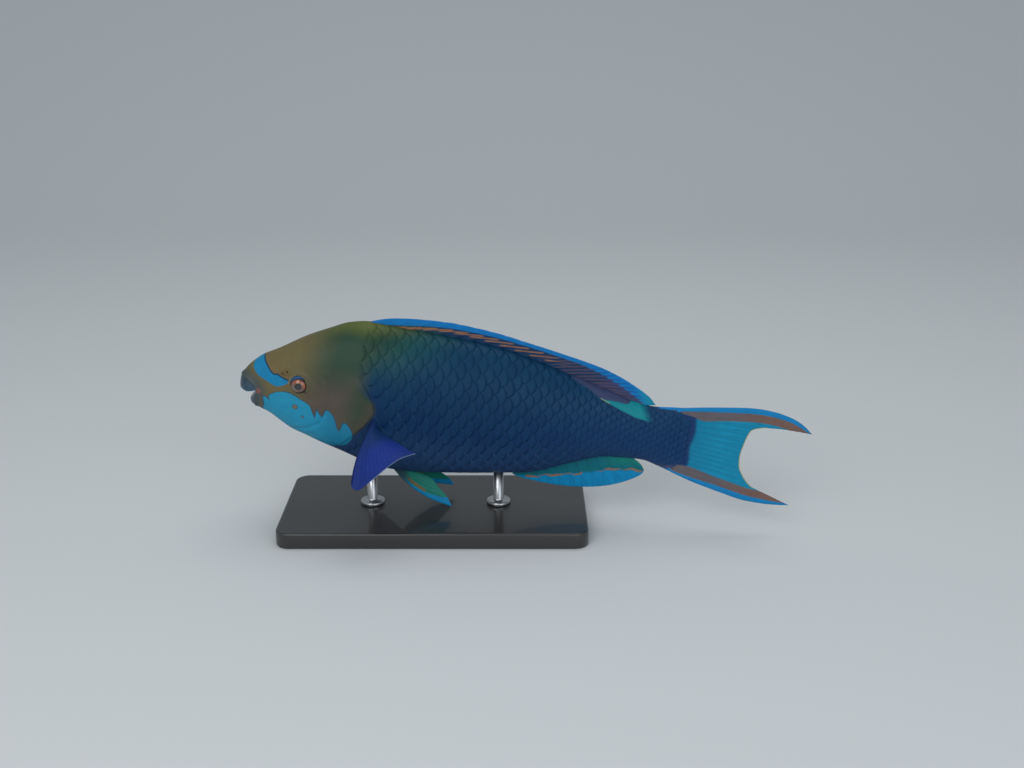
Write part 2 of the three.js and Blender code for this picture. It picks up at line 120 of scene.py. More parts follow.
def beyond(place: Array, edge: float | Array, width: float | Array = 1.0) -> Array:
    """Measure how far a place is past an edge, in widths of the mark's soft rim."""
    return (place - edge) / width


def within(place: Array, low: float, high: float, width: float = 1.0) -> Array:
    """Measure how far a place is inside a stretch, in widths of the mark's soft rim."""
    return np.minimum(place - low, high - place) / width


def line_at(place: Array, middle: float | Array, half: float) -> Array:
    """Measure how far a place is inside a line, from the line's middle and half width."""
    return half - np.abs(place - middle)


def round_spot(spot: Triple, x: Array, z: Array) -> Array:
    """Measure how far points lie inside a round spot, given by the x, z and radius of it."""
    return spot[2] - np.hypot(x - spot[0], z - spot[1])


class Profile:
    """A smooth line through knots that never overshoots them, blunt at x = 0 where asked."""

    def __init__(self, knots: Sequence[Pair], blunt: bool = True) -> None:
        """Take the knots.

        Args:
            knots: pairs of x and value, with rising x.
            blunt: whether the root of x is the variable.
        """
        self.blunt = blunt
        places, self.values = (np.array(column, float) for column in zip(*knots))
        self.places = self._scaled(places)
        slopes = np.diff(self.values) / np.diff(self.places)
        left, right = slopes[:-1], slopes[1:]
        turning = left * right <= 0
        inner = np.where(turning, 0.0, 2 * left * right / np.where(turning, 1.0, left + right))
        self.tangents = np.concatenate([slopes[:1], inner, slopes[-1:]])

    def _scaled(self, x: Array) -> Array:
        """Give the variable of the line for x."""
        return np.sqrt(np.maximum(x, 0.0)) if self.blunt else np.asarray(x, float)

    def __call__(self, x: Array | float) -> Array:
        """Give the values of the line.

        Args:
            x: where they are wanted; past either end the end's value holds.

        Returns:
            One value for each x.
        """
        at = np.clip(self._scaled(np.asarray(x, float)), self.places[0], self.places[-1])
        i = np.clip(np.searchsorted(self.places, at) - 1, 0, len(self.places) - 2)
        width = self.places[i + 1] - self.places[i]
        t = (at - self.places[i]) / width
        rest = 1 - t
        return (
            rest * rest * (1 + 2 * t) * self.values[i]
            + t * t * (3 - 2 * t) * self.values[i + 1]
            + width * t * rest * (rest * self.tangents[i] - t * self.tangents[i + 1])
        )


class Margin:
    """The edge of a fin: a smooth path through points, walked by its length."""

    STEPS = 60

    def __init__(self, points: Sequence[Sequence[float]]) -> None:
        """Draw a centripetal spline through the points.

        Args:
            points: x, y and z of each point, in order.
        """
        p = np.array(points, float)
        p = np.vstack([2 * p[0] - p[1], p, 2 * p[-1] - p[-2]])
        gap = np.sqrt(np.linalg.norm(np.diff(p, axis=0), axis=1))
        t = np.linspace(0, 1, self.STEPS, endpoint=False)[:, None]
        drawn = []
        for i in range(1, len(p) - 2):
            a, b, c = gap[i - 1 : i + 2]
            start = b * ((p[i] - p[i - 1]) / a - (p[i + 1] - p[i - 1]) / (a + b) + (p[i + 1] - p[i]) / b)
            end = b * ((p[i + 1] - p[i]) / b - (p[i + 2] - p[i]) / (b + c) + (p[i + 2] - p[i + 1]) / c)
            bend = 3 * (p[i + 1] - p[i]) - 2 * start - end
            twist = 2 * (p[i] - p[i + 1]) + start + end
            drawn.append(p[i] + t * start + t**2 * bend + t**3 * twist)
        self.points = np.vstack([*drawn, p[-2:-1]])
        lengths = np.linalg.norm(np.diff(self.points, axis=0), axis=1)
        self.walked = np.concatenate([[0.0], np.cumsum(lengths)])

    def __call__(self, u: Array) -> Array:
        """Give the points at shares u of the length."""
        at = np.asarray(u) * self.walked[-1]
        return np.stack([np.interp(at, self.walked, column) for column in self.points.T], axis=-1)


def distance_to(line: Sequence[Pair] | Array, x: Array, z: Array) -> Array:
    """Measure the shortest distances to a line in the side view.

    Args:
        line: the corners of the line, each an x and a z.
        x, z: places in the side view.

    Returns:
        One distance for each point.
    """
    corners = np.array(line, float)
    at = np.stack([x, z], axis=-1)
    least = np.full(np.shape(x), np.inf)
    for start, end in zip(corners[:-1], corners[1:]):
        edge = end - start
        t = np.clip(((at - start) @ edge) / max(edge @ edge, TINY), 0, 1)
        least = np.minimum(least, np.linalg.norm(at - start - t[..., None] * edge, axis=-1))
    return least


def depth_in(outline: Sequence[Pair], x: Array, z: Array) -> Array:
    """Measure how far points lie inside a closed outline in the side view, less than 0 outside it.

    Args:
        outline: the corners of the outline, each an x and a z.
        x, z: places in the side view.

    Returns:
        One signed distance for each point.
    """
    inside = np.zeros(np.shape(x), bool)
    closed = [*outline, outline[0]]
    for (ax, az), (bx, bz) in zip(closed[:-1], closed[1:]):
        if az == bz:
            continue
        crossing = ax + (z - az) * (bx - ax) / (bz - az)
        inside ^= ((az > z) != (bz > z)) & (x < crossing)
    away = distance_to(closed, x, z)
    return np.where(inside, away, -away)


@dataclass(frozen=True)
class Body:
    """The plain body: its profiles along x, and the section round them, a superellipse."""

    end: float = 430.0
    back: Profile = Profile(
        [(0, 5), (1, 9), (8, 19.6), (19, 29.6), (35, 38.4), (63, 55.3), (82, 64.3), (100, 72), (119, 75),
         (152, 73), (200, 69.8), (240, 66), (284, 56.5), (346, 39.2), (396, 27.6), (430, 30.5)]
    )
    belly: Profile = Profile(
        [(0, -5), (3, -10.5), (8, -15.8), (13, -19.8), (21, -24), (30, -27.5), (50, -39.5), (71, -47.6),
         (101, -57.6), (152, -71.5), (172, -72), (212, -68.8), (269, -61.7), (291, -58), (329, -42.6),
         (362, -31), (396, -28.8), (413, -32.2), (430, -37)]
    )
    half_width: Profile = Profile(
        [(0, 3.5), (3, 9.5), (10, 13), (20, 16), (40, 22), (60, 26.5), (90, 32), (130, 36.5), (170, 38.5),
         (220, 37.5), (280, 31), (330, 22), (380, 12.5), (410, 7.5), (430, 2.4)]
    )
    level: Profile = Profile([(0, 1), (30, 3), (60, 4), (130, 4), (200, 2), (330, 1), (430, -3)])
    round_above: Profile = Profile([(0, 2.4), (60, 2.15), (130, 1.95), (430, 2)])
    round_below: Profile = Profile([(0, 2.4), (60, 2.2), (130, 2.2), (300, 2), (430, 2)])

    def point(self, x: Array, angle: Array) -> Array:
        """Give points of the surface.

        Args:
            x: places along the fish.
            angle: their angles round the section, from the right side over the back.

        Returns:
            One row of x, y and z for each point.
        """
        across, up = np.cos(angle), np.sin(angle)
        level = self.level(x)
        above = up > 0
        reach = np.where(above, self.back(x) - level, level - self.belly(x))
        power = 2 / np.where(above, self.round_above(x), self.round_below(x))
        y = self.half_width(x) * np.sign(across) * np.abs(across) ** power
        z = level + reach * np.sign(up) * np.abs(up) ** power
        return np.stack([np.broadcast_to(x, y.shape), y, z], axis=-1)

    def side(self, x: Array, z: Array) -> Array:
        """Give the half width of the body.

        Args:
            x: where it is measured along the fish.
            z: how high it is measured.

        Returns:
            One half width for each point, 0 past the back and the belly.
        """
        level = self.level(x)
        above = z > level
        reach = np.where(above, self.back(x) - level, level - self.belly(x))
        roundness = np.where(above, self.round_above(x), self.round_below(x))
        share = np.minimum(np.abs(z - level) / reach, 1)
        return self.half_width(x) * (1 - share**roundness) ** (1 / roundness)

    def normal(self, x: Array, angle: Array) -> Array:
        """Give the directions that point out of the surface.

        Args:
            x: where they start along the fish.
            angle: their angles round the section.

        Returns:
            One row of length 1 for each point.
        """
        step = 0.05
        along = self.point(x + step, angle) - self.point(np.maximum(x - step, 0), angle)
        around = self.point(x, angle + step) - self.point(x, angle - step)
        out = np.cross(around, along)
        return out / np.linalg.norm(out, axis=-1, keepdims=True)


BODY = Body()


@dataclass(frozen=True)
class Gill:
    """The gill cover's free edge, drawn from its low to its high end, a little above the trunk."""

    edge: Profile = Profile(
        [(-75, 86), (-53, 94), (-41, 105), (-29, 116), (-15, 127), (-3, 133), (14, 126), (30, 115),
         (50, 114), (74, 118), (95, 118)],
        blunt=False,
    )
    lift: float = 1.5
    ramp: float = 26.0
    top: float = 30.0
    bottom: float = -54.0
    fade: float = 14.0
    low: float = -75.0
    high: float = 95.0
    line_points: int = 60

    def window(self, z: Array) -> Array:
        """Say how much of the lift there is at height z, from 0 to 1."""
        below = smooth(z, self.bottom, self.bottom + self.fade)
        return below * (1 - smooth(z, self.top - self.fade, self.top))

    def line(self) -> Array:
        """Draw the edge as a line in the side view."""
        z = np.linspace(self.low, self.high, self.line_points)
        return np.stack([self.edge(z), z], axis=-1)

    def rise(self, x: Array, z: Array) -> Array:
        """Say how far the cover swells out towards its edge."""
        away = distance_to(self.line(), x, z)
        return (1 - smooth(away, 0, self.ramp)) * self.window(z) * self.lift


@dataclass(frozen=True)
class Mouth:
    """The mouth in the side view: the line of the lips, and the cutting edges of the two beaks."""

    lips: tuple[Pair, ...] = (
        (15, -34), (16.5, -20), (17, -9), (18, -6.5), (18.6, -2.5), (14.5, 3), (8.5, 7), (1, 9.6),
        (-10, 10.6),
    )
    upper_edge: tuple[Pair, ...] = (
        (-8, -4.2), (2, -5), (5, -6.2), (8, -6.8), (12, -5.7), (15.3, -4.1), (18.1, -3.6),
    )
    lower_edge: tuple[Pair, ...] = (
        (9, -34), (10.8, -18), (10.5, -14.1), (12.2, -11), (14.6, -7.9), (17.8, -4.2),
    )
    relief: float = 1.1
    width: float = 2.0
    inset: float = 0.6
    search: float = 24.0
    search_points: int = 481

    def lip(self, z: Array) -> Array:
        """Say how far back the lips lie at height z."""
        xs, zs = zip(*self.lips)
        return np.interp(z, zs, xs)

    def front(self, angle: Array) -> Array:
        """Find where the lips cross the body.

        Args:
            angle: the angles round the body at which they are looked for, from the snout's tip back.

        Returns:
            One x for each angle.
        """
        x = np.linspace(0, self.search, self.search_points)[:, None]
        past = x - self.lip(BODY.point(x, angle[None, :])[..., 2])
        first = np.argmax(past >= 0, axis=0)
        columns = np.arange(len(angle))
        short, over = past[first - 1, columns], past[first, columns]
        share = np.where(first > 0, short / (short - over), 0.0)
        return np.where(first > 0, x[first - 1, 0] + share * (x[1, 0] - x[0, 0]), 0.0)


@dataclass(frozen=True)
class EyePlace:
    """Where the eye sits and how large it is."""

    x: float = 59.8
    z: float = 10.8
    radius: float = 9.5
    flatness: float = 0.85
    depth: float = 5.0

    def centre(self, side: Side) -> Array:
        """Give the ball's centre in the fish's frame."""
        return np.array([self.x, side.value * (float(BODY.side(self.x, self.z)) - self.depth), self.z])


GILL = Gill()
MOUTH = Mouth()
EYE = EyePlace()


@dataclass(frozen=True)
class Face:
    """The relief of the face: lips, eye sockets and lids, the nostrils' pits and the cheek's crease."""

    nostrils: tuple[Triple, ...] = ((42.5, 19.5, 1.0), (47.0, 21.5, 1.4))
    crease: tuple[Pair, ...] = ((84, 22), (88, 6), (88, -10), (82, -24), (70, -33), (56, -37))
    socket_depth: float = 4.0
    socket_floor: float = 7.6
    socket_edge: float = 9.3
    lid_height: float = 0.8
    lid_radius: float = 11.0
    lid_width: float = 2.6
    pit_depth: float = 2.0
    crease_depth: float = 0.5
    crease_width: float = 1.8
    cheek_height: float = 0.35
    cheek_away: float = 4.0
    cheek_width: float = 3.0

    def relief(self, x: Array, z: Array) -> Array:
        """Give the height of the face over the plain body.

        Args:
            x, z: places in the side view.

        Returns:
            One height for each point, less than 0 where the face is sunk in.
        """
        relief = MOUTH.relief * hump(distance_to(MOUTH.lips, x, z), MOUTH.width)
        eye = np.hypot(x - EYE.x, z - EYE.z)
        socket = self.socket_depth * (1 - smooth(eye, self.socket_floor, self.socket_edge))
        relief = relief - socket + self.lid_height * hump(eye - self.lid_radius, self.lid_width)
        for nx, nz, radius in self.nostrils:
            relief = relief - self.pit_depth * (1 - smooth(np.hypot(x - nx, z - nz), radius, 2 * radius))
        crease = distance_to(self.crease, x, z)
        relief = relief - self.crease_depth * hump(crease, self.crease_width)
        return relief + self.cheek_height * hump(crease - self.cheek_away, self.cheek_width)


@dataclass(frozen=True)
class TailRoot:
    """The root of the tail, which swells to meet the edges of the tail fin."""

    height: float = 0.6
    start: float = 398.0
    full: float = 424.0

    def swell(self, x: Array) -> Array:
        """Say how far the root swells at x."""
        return self.height * smooth(x, self.start, self.full)


FACE = Face()
TAIL_ROOT = TailRoot()
# The skin and the roots of its scales lie this far inside the plain body.
SKIN_DEPTH = 0.35


class Pose:
    """Bends the tail to the left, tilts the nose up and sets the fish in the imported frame.

    The swing grows with the square of the way from its start to the end of the fish's length.
    """

    SWING = 40.0
    START = 200.0
    LENGTH = 550.0
    PITCH = math.radians(7)

    def __init__(self) -> None:
        """Find the fish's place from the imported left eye."""
        low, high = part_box("eye_left")
        middle = np.array((low + high) / 2) / MM
        self.shift = np.zeros(3)
        self.shift = middle - self.turned(EYE.centre(Side.LEFT)[None])[0]

    def turned(self, points: Array) -> Array:
        """Bend and tilt points, in millimetres.

        Args:
            points: rows of x, y and z in the fish's frame.

        Returns:
            Rows of x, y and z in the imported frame, still in millimetres.
        """
        x, y, z = points.T
        past = np.maximum(x - self.START, 0) / (self.LENGTH - self.START)
        cos, sin = math.cos(self.PITCH), math.sin(self.PITCH)
        bent = np.stack([x * cos + z * sin, y - self.SWING * past**2, z * cos - x * sin], axis=-1)
        return bent + self.shift

    def place(self, points: Array) -> Array:
        """Pose points of the fish's frame and turn them into metres."""
        return self.turned(points) * MM


POSE = Pose()


def column_of(items: bpy.types.bpy_prop_collection, name: str, kind: type, width: int = 1) -> Array:
    """Read one property of every point, corner or face of a mesh.

    Args:
        items: the points, corners or faces.
        name: the property.
        kind: the type of its numbers.
        width: how many numbers each item has.

    Returns:
        The numbers, one after the other.
    """
    values = np.empty(len(items) * width, kind)
    items.foreach_get(name, values)
    return values


def coordinates(mesh: bpy.types.Mesh) -> Array:
    """Read a mesh's points as rows of x, y and z."""
    return column_of(mesh.vertices, "co", float, 3).reshape(-1, 3)


def write_traits(mesh: bpy.types.Mesh, traits: Traits) -> None:
    """Keep one number a point under each trait's name, for the finishes to read.

    Args:
        mesh: the mesh that carries the traits.
        traits: the numbers, in the order of the mesh's points.
    """
    for name, values in traits.items():
        attribute = mesh.attributes.new(name, "FLOAT", "POINT")
        attribute.data.foreach_set("value", np.ascontiguousarray(values, np.float32))


def linked(name: str, data: bpy.types.ID) -> Piece:
    """Make an object of some data and put it in the scene.

    Args:
        name: the object's name.
        data: its mesh, camera or light.

    Returns:
        The new object, at the origin.
    """
    piece = bpy.data.objects.new(name, data)
    bpy.context.scene.collection.objects.link(piece)
    return piece


def made(name: str, bm: bmesh.types.BMesh, flat: float = 2.0) -> Piece:
    """Turn a bmesh into a smoothly shaded object of the scene.

    Args:
        name: the name of the object and its mesh.
        bm: the shape, which is freed.
        flat: faces that are level to this degree, where 1 is quite level, are shaded flat.

    Returns:
        The new object.
    """
    for face in bm.faces:
        face.smooth = abs(face.normal.z) < flat
    mesh = bpy.data.meshes.new(name)
    bm.to_mesh(mesh)
    bm.free()
    return linked(name, mesh)


def dressed(piece: Piece, finish: Material, slot: str, *nodes: str) -> Piece:
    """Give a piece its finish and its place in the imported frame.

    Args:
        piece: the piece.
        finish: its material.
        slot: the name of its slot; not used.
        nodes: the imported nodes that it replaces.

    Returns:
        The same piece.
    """
    piece.data.materials.append(finish)
    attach(piece, "root")
    if nodes:
        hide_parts(*nodes)
    return piece


def bent_grid(name: str, columns: int, rows: int, shape: Callable[..., tuple[Array, Traits]]) -> Piece:
    """Bend a flat grid into a closed surface.

    Args:
        name: the piece's name.
        columns: faces across the grid.
        rows: faces up the grid.
        shape: gives points in metres and traits for whole numbers of column and row.

    Returns:
        The new object.
    """
    mesh = bpy.data.meshes.new(name)
    sheet = bmesh.new()
    bmesh.ops.create_grid(sheet, x_segments=columns, y_segments=rows, size=1)
    sheet.to_mesh(mesh)
    flat = coordinates(mesh)
    points, traits = shape((flat[:, 0] + 1) / 2 * columns, (flat[:, 1] + 1) / 2 * rows)
    mesh.vertices.foreach_set("co", points.astype(np.float32).ravel())
    write_traits(mesh, traits)
    sheet.clear()
    sheet.from_mesh(mesh)
    bmesh.ops.remove_doubles(sheet, verts=sheet.verts, dist=WELD)
    bmesh.ops.recalc_face_normals(sheet, faces=sheet.faces)
    for face in sheet.faces:
        face.smooth = True
    sheet.to_mesh(mesh)
    sheet.free()
    return linked(name, mesh)


@dataclass(frozen=True)
class Crescent:
    """A crescent painted round the eye, thickest towards one turn and thinning to both sides of it."""

    half: float
    radius: float
    towards: float
    thinning: float
    span: float
    trim: float

    def depth(self, away: Array, turn: Array) -> Array:
        """Measure how far points lie inside the crescent.

        Args:
            away: how far they are from the eye's middle.
            turn: at what angle round it they are.

        Returns:
            One signed distance for each point.
        """
        along = np.clip(turn - self.towards, -self.span, self.span)
        return self.half * np.cos(self.thinning * along) - np.abs(away - self.radius) - self.trim


class Markings:
    """The pattern of the skin, with a painted highlight (glint) and a painted shade (lid_shade) among its
    marks.

    Each trait is above 0 inside its mark, in millimetres or in widths of the mark's soft rim.
    """

    BAND = (
        (12.6, 40), (12.3, 24.8), (12.7, 19.7), (15.7, 15.7), (19, 12.8), (24.3, 10.6), (29.5, 8.7),
        (33.7, 6.6), (37.8, 5.9), (43.7, 7.8), (48.5, 11.3), (49.6, 12.8), (49.2, 13.9), (45.2, 14.6),
        (41.1, 15.8), (38, 17.6), (33.8, 16.9), (30.7, 18.8), (27.2, 22.8), (23.5, 27.4), (21.3, 31.7),
        (21, 42),
    )
    CHEEK = (
        (24.7, -8.4), (25.8, -14.9), (24.5, -21.7), (23, -50), (60, -75), (84, -62), (90.5, -51),
        (97.8, -48.5), (107.9, -44.8), (113.7, -37.3), (115.3, -31.1), (113, -24.8), (108.8, -20.1),
        (105.8, -19), (104.5, -20.8), (103.3, -26), (101.5, -29.2), (99.4, -26.3), (97.6, -20),
        (94.8, -14), (91.5, -9.9), (88.5, -8.9), (86.7, -10.3), (85.4, -14.2), (84.1, -17.2),
        (81, -13.5), (78.8, -10.2), (78, -13), (77.3, -19.7), (75.2, -15.7), (71.8, -7.8),
        (67.7, -4.9), (62.6, -2.8), (57.4, 0.3), (51.4, 2.2), (45.4, 2), (37.5, 0.3), (32.6, -2.8),
        (29.7, -6.1), (31.9, -9.4), (28.8, -8), (25.7, -6.5),
    )
    WEDGE = (
        (349.5, 30.2), (367, 22.4), (383.3, 16.2), (420, 10), (410, 45), (386, 40), (380.3, 33), (375, 27.2),
        (366, 28.6),
    )
    FOLD = (
        (318, 46), (337, 37.5), (349.5, 30.2), (366, 28.6), (375, 27.2), (380.3, 33), (382, 44), (345, 56),
        (318, 60),
    )
    # A thin pale line by the folded back fin, a painted highlight.
    GLINT = ((347.5, 31), (350, 29.9), (354, 28.4), (357, 27))
    SPOTS = ((57.1, -11.3, 2.2), (64.9, -20.7, 0.9))
    MOUTH_CORNER = (19.8, -2.6, 2.6)
    # A painted shade at the lower rear rim of the eye.
    LID_SHADE = (EYE.x + 6.4, EYE.z - 4.6, 1.3)
    # The corners of the snout's band that lie on its upper edge come after this many others.
    UPPER_FROM = 12
    # The wedge ends behind at a slanting line, given by its x at this height.
    SLANT = 0.5
    SLANT_LEVEL = 20.0
    WEDGE_END = 392.0
    WEDGE_PAINT_END = 394.0
    CRESCENTS = {
        "lid_dark": Crescent(half=2.1, radius=8.1, towards=1.95, thinning=1.15, span=2.0, trim=0.1),
        "lid_blue": Crescent(half=0.9, radius=8.5, towards=1.95, thinning=1.45, span=1.5, trim=0.12),
        "lid_pale": Crescent(half=0.9, radius=10.3, towards=2.6, thinning=1.6, span=1.5, trim=0.1),
    }
    HEAD_END = Profile(
        [(-75, 87), (-53, 95), (-41, 106), (-29, 117), (-15, 128), (-3, 134), (5, 132), (10, 127), (16, 122),
         (26, 121), (36, 124), (46, 132), (56, 141), (66, 152), (76, 186)],
        blunt=False,
    )

    def slanted(self, x: Array, z: Array) -> Array:
        """Give x along the fish, carried down the slant of the wedge's rear end to its level."""
        return x + self.SLANT * (z - self.SLANT_LEVEL)

    def folded(self, x: Array, z: Array) -> Array:
        """Say how far points lie within the rear of the back fin, where it folds down over the flank."""
        wedge = np.minimum(depth_in(self.WEDGE, x, z), self.WEDGE_END - self.slanted(x, z))
        return np.maximum(wedge, depth_in(self.FOLD, x, z))

    def traits(self, x: Array, z: Array) -> Traits:
        """Measure every mark. The numbers are places on the fish and the widths that marks fade over.

        Args:
            x, z: places in the side view.

        Returns:
            The traits by name.
        """
        crest, keel = BODY.back(x) - z, z - BODY.belly(x)
        cheek, band = depth_in(self.CHEEK, x, z), depth_in(self.BAND, x, z)
        upper_rim = distance_to(self.BAND[self.UPPER_FROM :], x, z)
        spot = np.max([round_spot(spot, x, z) for spot in self.SPOTS], axis=0)
        wedge_end = before(self.slanted(x, z), self.WEDGE_PAINT_END, 8)
        # The head's colour ends at a sharp line over the gill cover and softly towards the nape.
        spread = 3 + 8 * smooth(z, 6, 20) + 14 * smooth(z, 20, 62)
        away, turn = np.hypot(x - EYE.x, z - EYE.z), np.arctan2(z - EYE.z, x - EYE.x)
        return {
            "head": before(x, self.HEAD_END(z), spread),
            "nape": before(crest, 8, 8) - np.abs(x - 116) / 34,
            "shoulder": before(crest, 34, 30) - np.maximum(x - 150, 0) / 42,
            "fore": before(x - 0.3 * (z - 20), 66, 24),
            "blush": before(upper_rim, 6, 6),
            "warm": np.minimum(before(z, 20, 26), before(x, 112, 20)),
            "flap": np.minimum(beyond(x, GILL.edge(z) - 9, 6), within(z, -34, 6, 6)),
            "snout": before(distance_to(MOUTH.lips, x, z), 8, 7),
            "corner": round_spot(self.MOUTH_CORNER, x, z),
            "cheek": cheek,
            "cheek_line": line_at(cheek, -0.25, 0.55),
            "cheek_low": np.minimum(cheek, beyond(x, 86, 14)),
            "spot": spot,
            "spot_line": line_at(spot, -0.3, 0.5),
            "band": band,
            "band_line": np.minimum(line_at(band, -0.35, 0.75), before(upper_rim, 1.2)),
            "wedge": np.minimum(depth_in(self.WEDGE, x, z), wedge_end),
            "fold": depth_in(self.FOLD, x, z) / 3,
            "glint": before(distance_to(self.GLINT, x, z), 0.45),
            "back": beyond(z, 20, 40),
            "belly": before(z, -34, 24),
            "rear": beyond(x, 300, 90),
            # The tail root's blue and brown edges, which widen backwards.
            "crest_line": np.minimum(before(crest, 0.9 + 0.075 * (x - 405)), beyond(x, 405, 4)),
            "crest_brown": np.minimum(before(crest, 0.26 * (x - 414)), beyond(x, 418, 6)) / 2,
            "keel_brown": np.minimum(before(keel, 0.4 * (x - 410)), beyond(x, 416, 8)) / 3,
            "keel_line": np.minimum(before(keel, 0.6 + 0.1 * (x - 414)), beyond(x, 412, 4)),
            **{name: crescent.depth(away, turn) for name, crescent in self.CRESCENTS.items()},
            "lid_shade": round_spot(self.LID_SHADE, x, z),
        }


MARKINGS = Markings()


def add(tree: Tree, kind: str, inputs: dict | None = None, **settings: object) -> bpy.types.Node:
    """Add a node to a tree.

    Args:
        tree: the tree.
        kind: the node's type.
        inputs: a value, or a socket to link, for each input by name or number.
        settings: the node's own settings; stops are a ramp's places and hex colours.

    Returns:
        The new node.
    """
    node = tree.nodes.new(kind)
    for place, colour in settings.pop("stops", ()):
        ramp = node.color_ramp.elements
        stop = ramp[0] if place == 0 else ramp[-1] if place == 1 else ramp.new(place)
        stop.color = linear(colour)
    for name, value in settings.items():
        setattr(node, name, value)
    for name, value in (inputs or {}).items():
        if isinstance(value, Socket):
            tree.links.new(value, node.inputs[name])
        else:
            node.inputs[name].default_value = value
    return node


def new_material(name: str) -> Material:
    """Make a material with an empty tree.

    Args:
        name: its name.

    Returns:
        The new material.
    """
    material = bpy.data.materials.new(name)
    material.use_nodes = True
    material.node_tree.nodes.clear()
    return material


def finish_off(tree: Tree, finish: dict) -> None:
    """End a material in a shader with the given inputs."""
    shader = add(tree, "ShaderNodeBsdfPrincipled", finish).outputs[0]
    add(tree, "ShaderNodeOutputMaterial", {"Surface": shader})


@dataclass(frozen=True)
class Layer:
    """One coat of paint: the trait that says where it lies, and how softly it ends."""

    trait: str
    colour: str
    soft: float = 0.35
    strength: float = 1.0


# Sockets of a colour mix by number, because its other kinds share their names.
MIX_FACTOR, MIX_UNDER, MIX_OVER, MIXED = 0, 6, 7, 2


def coated(tree: Tree, mask: Socket, under: Socket, colour: str) -> Socket:
    """Lay a hex colour over another by a mask."""
    coats = {MIX_FACTOR: mask, MIX_UNDER: under, MIX_OVER: linear(colour)}
    return add(tree, "ShaderNodeMix", coats, data_type="RGBA").outputs[MIXED]


@dataclass(frozen=True)
class Painted:
    """Hand-painted cast resin under a satin varnish.

    The paint gives the eye flat colours that fade or stop where a trait passes 0, and the varnish a broad,
    weak gloss. The brush leaves a mottling and the cast a grain, both sized in millimetres. A real grain is
    near a tenth of one, which is too fine to show, so it is drawn about nine times as coarse.
    """

    name: str
    base: str
    layers: tuple[Layer, ...] = ()
    mottle: str = "#000000"
    mottle_strength: float = 0.12
    mottle_size: float = 9.0
    grain: float = 0.9
    grain_depth: float = 0.08
    roughness: float = 0.5
    specular: float = 0.2
    coat: float = 0.05
    coat_roughness: float = 0.22
    varnish_ior: float = 1.45
    mottle_detail: float = 5.0
    mottle_roughness: float = 0.62
    mottle_low: float = 0.38
    mottle_high: float = 0.72
    grain_detail: float = 3.0
    grain_strength: float = 0.5

    def material(self) -> Material:
        """Build the node material.

        Returns:
            The material.
        """
        material = new_material(self.name)
        tree = material.node_tree
        place = add(tree, "ShaderNodeTexCoord").outputs["Object"]
        colour = add(tree, "ShaderNodeRGB").outputs[0]
        colour.default_value = linear(self.base)
        for layer in self.layers:
            trait = add(tree, "ShaderNodeAttribute", attribute_name=layer.trait).outputs["Fac"]
            soft = layer.soft
            reach = {"Value": trait, "From Min": -soft, "From Max": soft, "To Max": layer.strength}
            mask = add(tree, "ShaderNodeMapRange", reach, interpolation_type="SMOOTHSTEP").outputs[0]
            colour = coated(tree, mask, colour, layer.colour)
        cloud = {
            "Vector": place,
            "Scale": 1 / (self.mottle_size * MM),
            "Detail": self.mottle_detail,
            "Roughness": self.mottle_roughness,
        }
        noise = add(tree, "ShaderNodeTexNoise", cloud).outputs[0]
        reach = {
            "Value": noise,
            "From Min": self.mottle_low,
            "From Max": self.mottle_high,
            "To Max": self.mottle_strength,
        }
        mask = add(tree, "ShaderNodeMapRange", reach).outputs[0]
        colour = coated(tree, mask, colour, self.mottle)
        fine = {"Vector": place, "Scale": 1 / (self.grain * MM), "Detail": self.grain_detail}
        grain = add(tree, "ShaderNodeTexNoise", fine).outputs[0]
        relief = {"Height": grain, "Strength": self.grain_strength, "Distance": self.grain_depth * MM}
        bump = add(tree, "ShaderNodeBump", relief).outputs[0]
        finish = {
            "Base Color": colour,
            "Normal": bump,
            "Roughness": self.roughness,
            "Coat Weight": self.coat,
            "Coat Roughness": self.coat_roughness,
            "Specular IOR Level": self.specular,
            "IOR": self.varnish_ior,
        }
        finish_off(tree, finish)
        return material


# The colours of the living skin, from the shades of the body up to the small marks of the head and eye, with
# a painted highlight by the folded back fin (glint) and a painted shade at the lower rear of the eye
# (lid_shade).
SKIN_LAYERS = (
    Layer("rear", "#113764", 1.0),
    Layer("back", "#073b58", 1.0, 0.7),
    Layer("belly", "#2c4870", 1.0, 0.8),
    Layer("shoulder", "#1c5248", 1.0, 0.8),
    Layer("fold", "#3f4466", 0.6, 0.85),
    Layer("wedge", "#0c858f", 0.7),
    # Painted highlight along the edge of the folded back fin.
    Layer("glint", "#8a9a6a", 0.5, 0.7),
    Layer("crest_brown", "#5f5864", 1.0, 0.8),
    Layer("keel_brown", "#5a5464", 1.0, 0.8),
    Layer("crest_line", "#0b7abc", 0.5),
    Layer("keel_line", "#0b70ac", 0.5),
    Layer("head", "#284434", 1.0),
    Layer("head_warm", "#5a5046", 1.0),
    Layer("head_flap", "#4d473c", 1.0, 0.8),
    Layer("head_fore", "#6f6441", 1.0),
    Layer("head_nape", "#626a2c", 1.0, 0.85),
    Layer("blush", "#7c6242", 1.0, 0.5),
    Layer("snout", "#475255", 1.0, 0.9),
    Layer("band", "#1681b0", 0.35),
    Layer("band_line", "#12405f", 0.3),
    Layer("cheek", "#2690b4", 0.35),
    Layer("cheek_low", "#1a7698", 0.9, 0.8),
    Layer("cheek_line", "#1a4c66", 0.35, 0.7),
    Layer("spot_line", "#1d4a5c", 0.4, 0.8),
    Layer("spot", "#7a6a58", 0.5),
    Layer("corner", "#8a5a52", 1.0, 0.8),
    Layer("lid_pale", "#84806a", 0.4, 0.7),
    Layer("lid_dark", "#142636", 0.4, 0.9),
    Layer("lid_blue", "#125f9c", 0.4),
    # Painted shade at the lower rear rim of the eye.
    Layer("lid_shade", "#2e2c46", 1.0, 0.7),
)


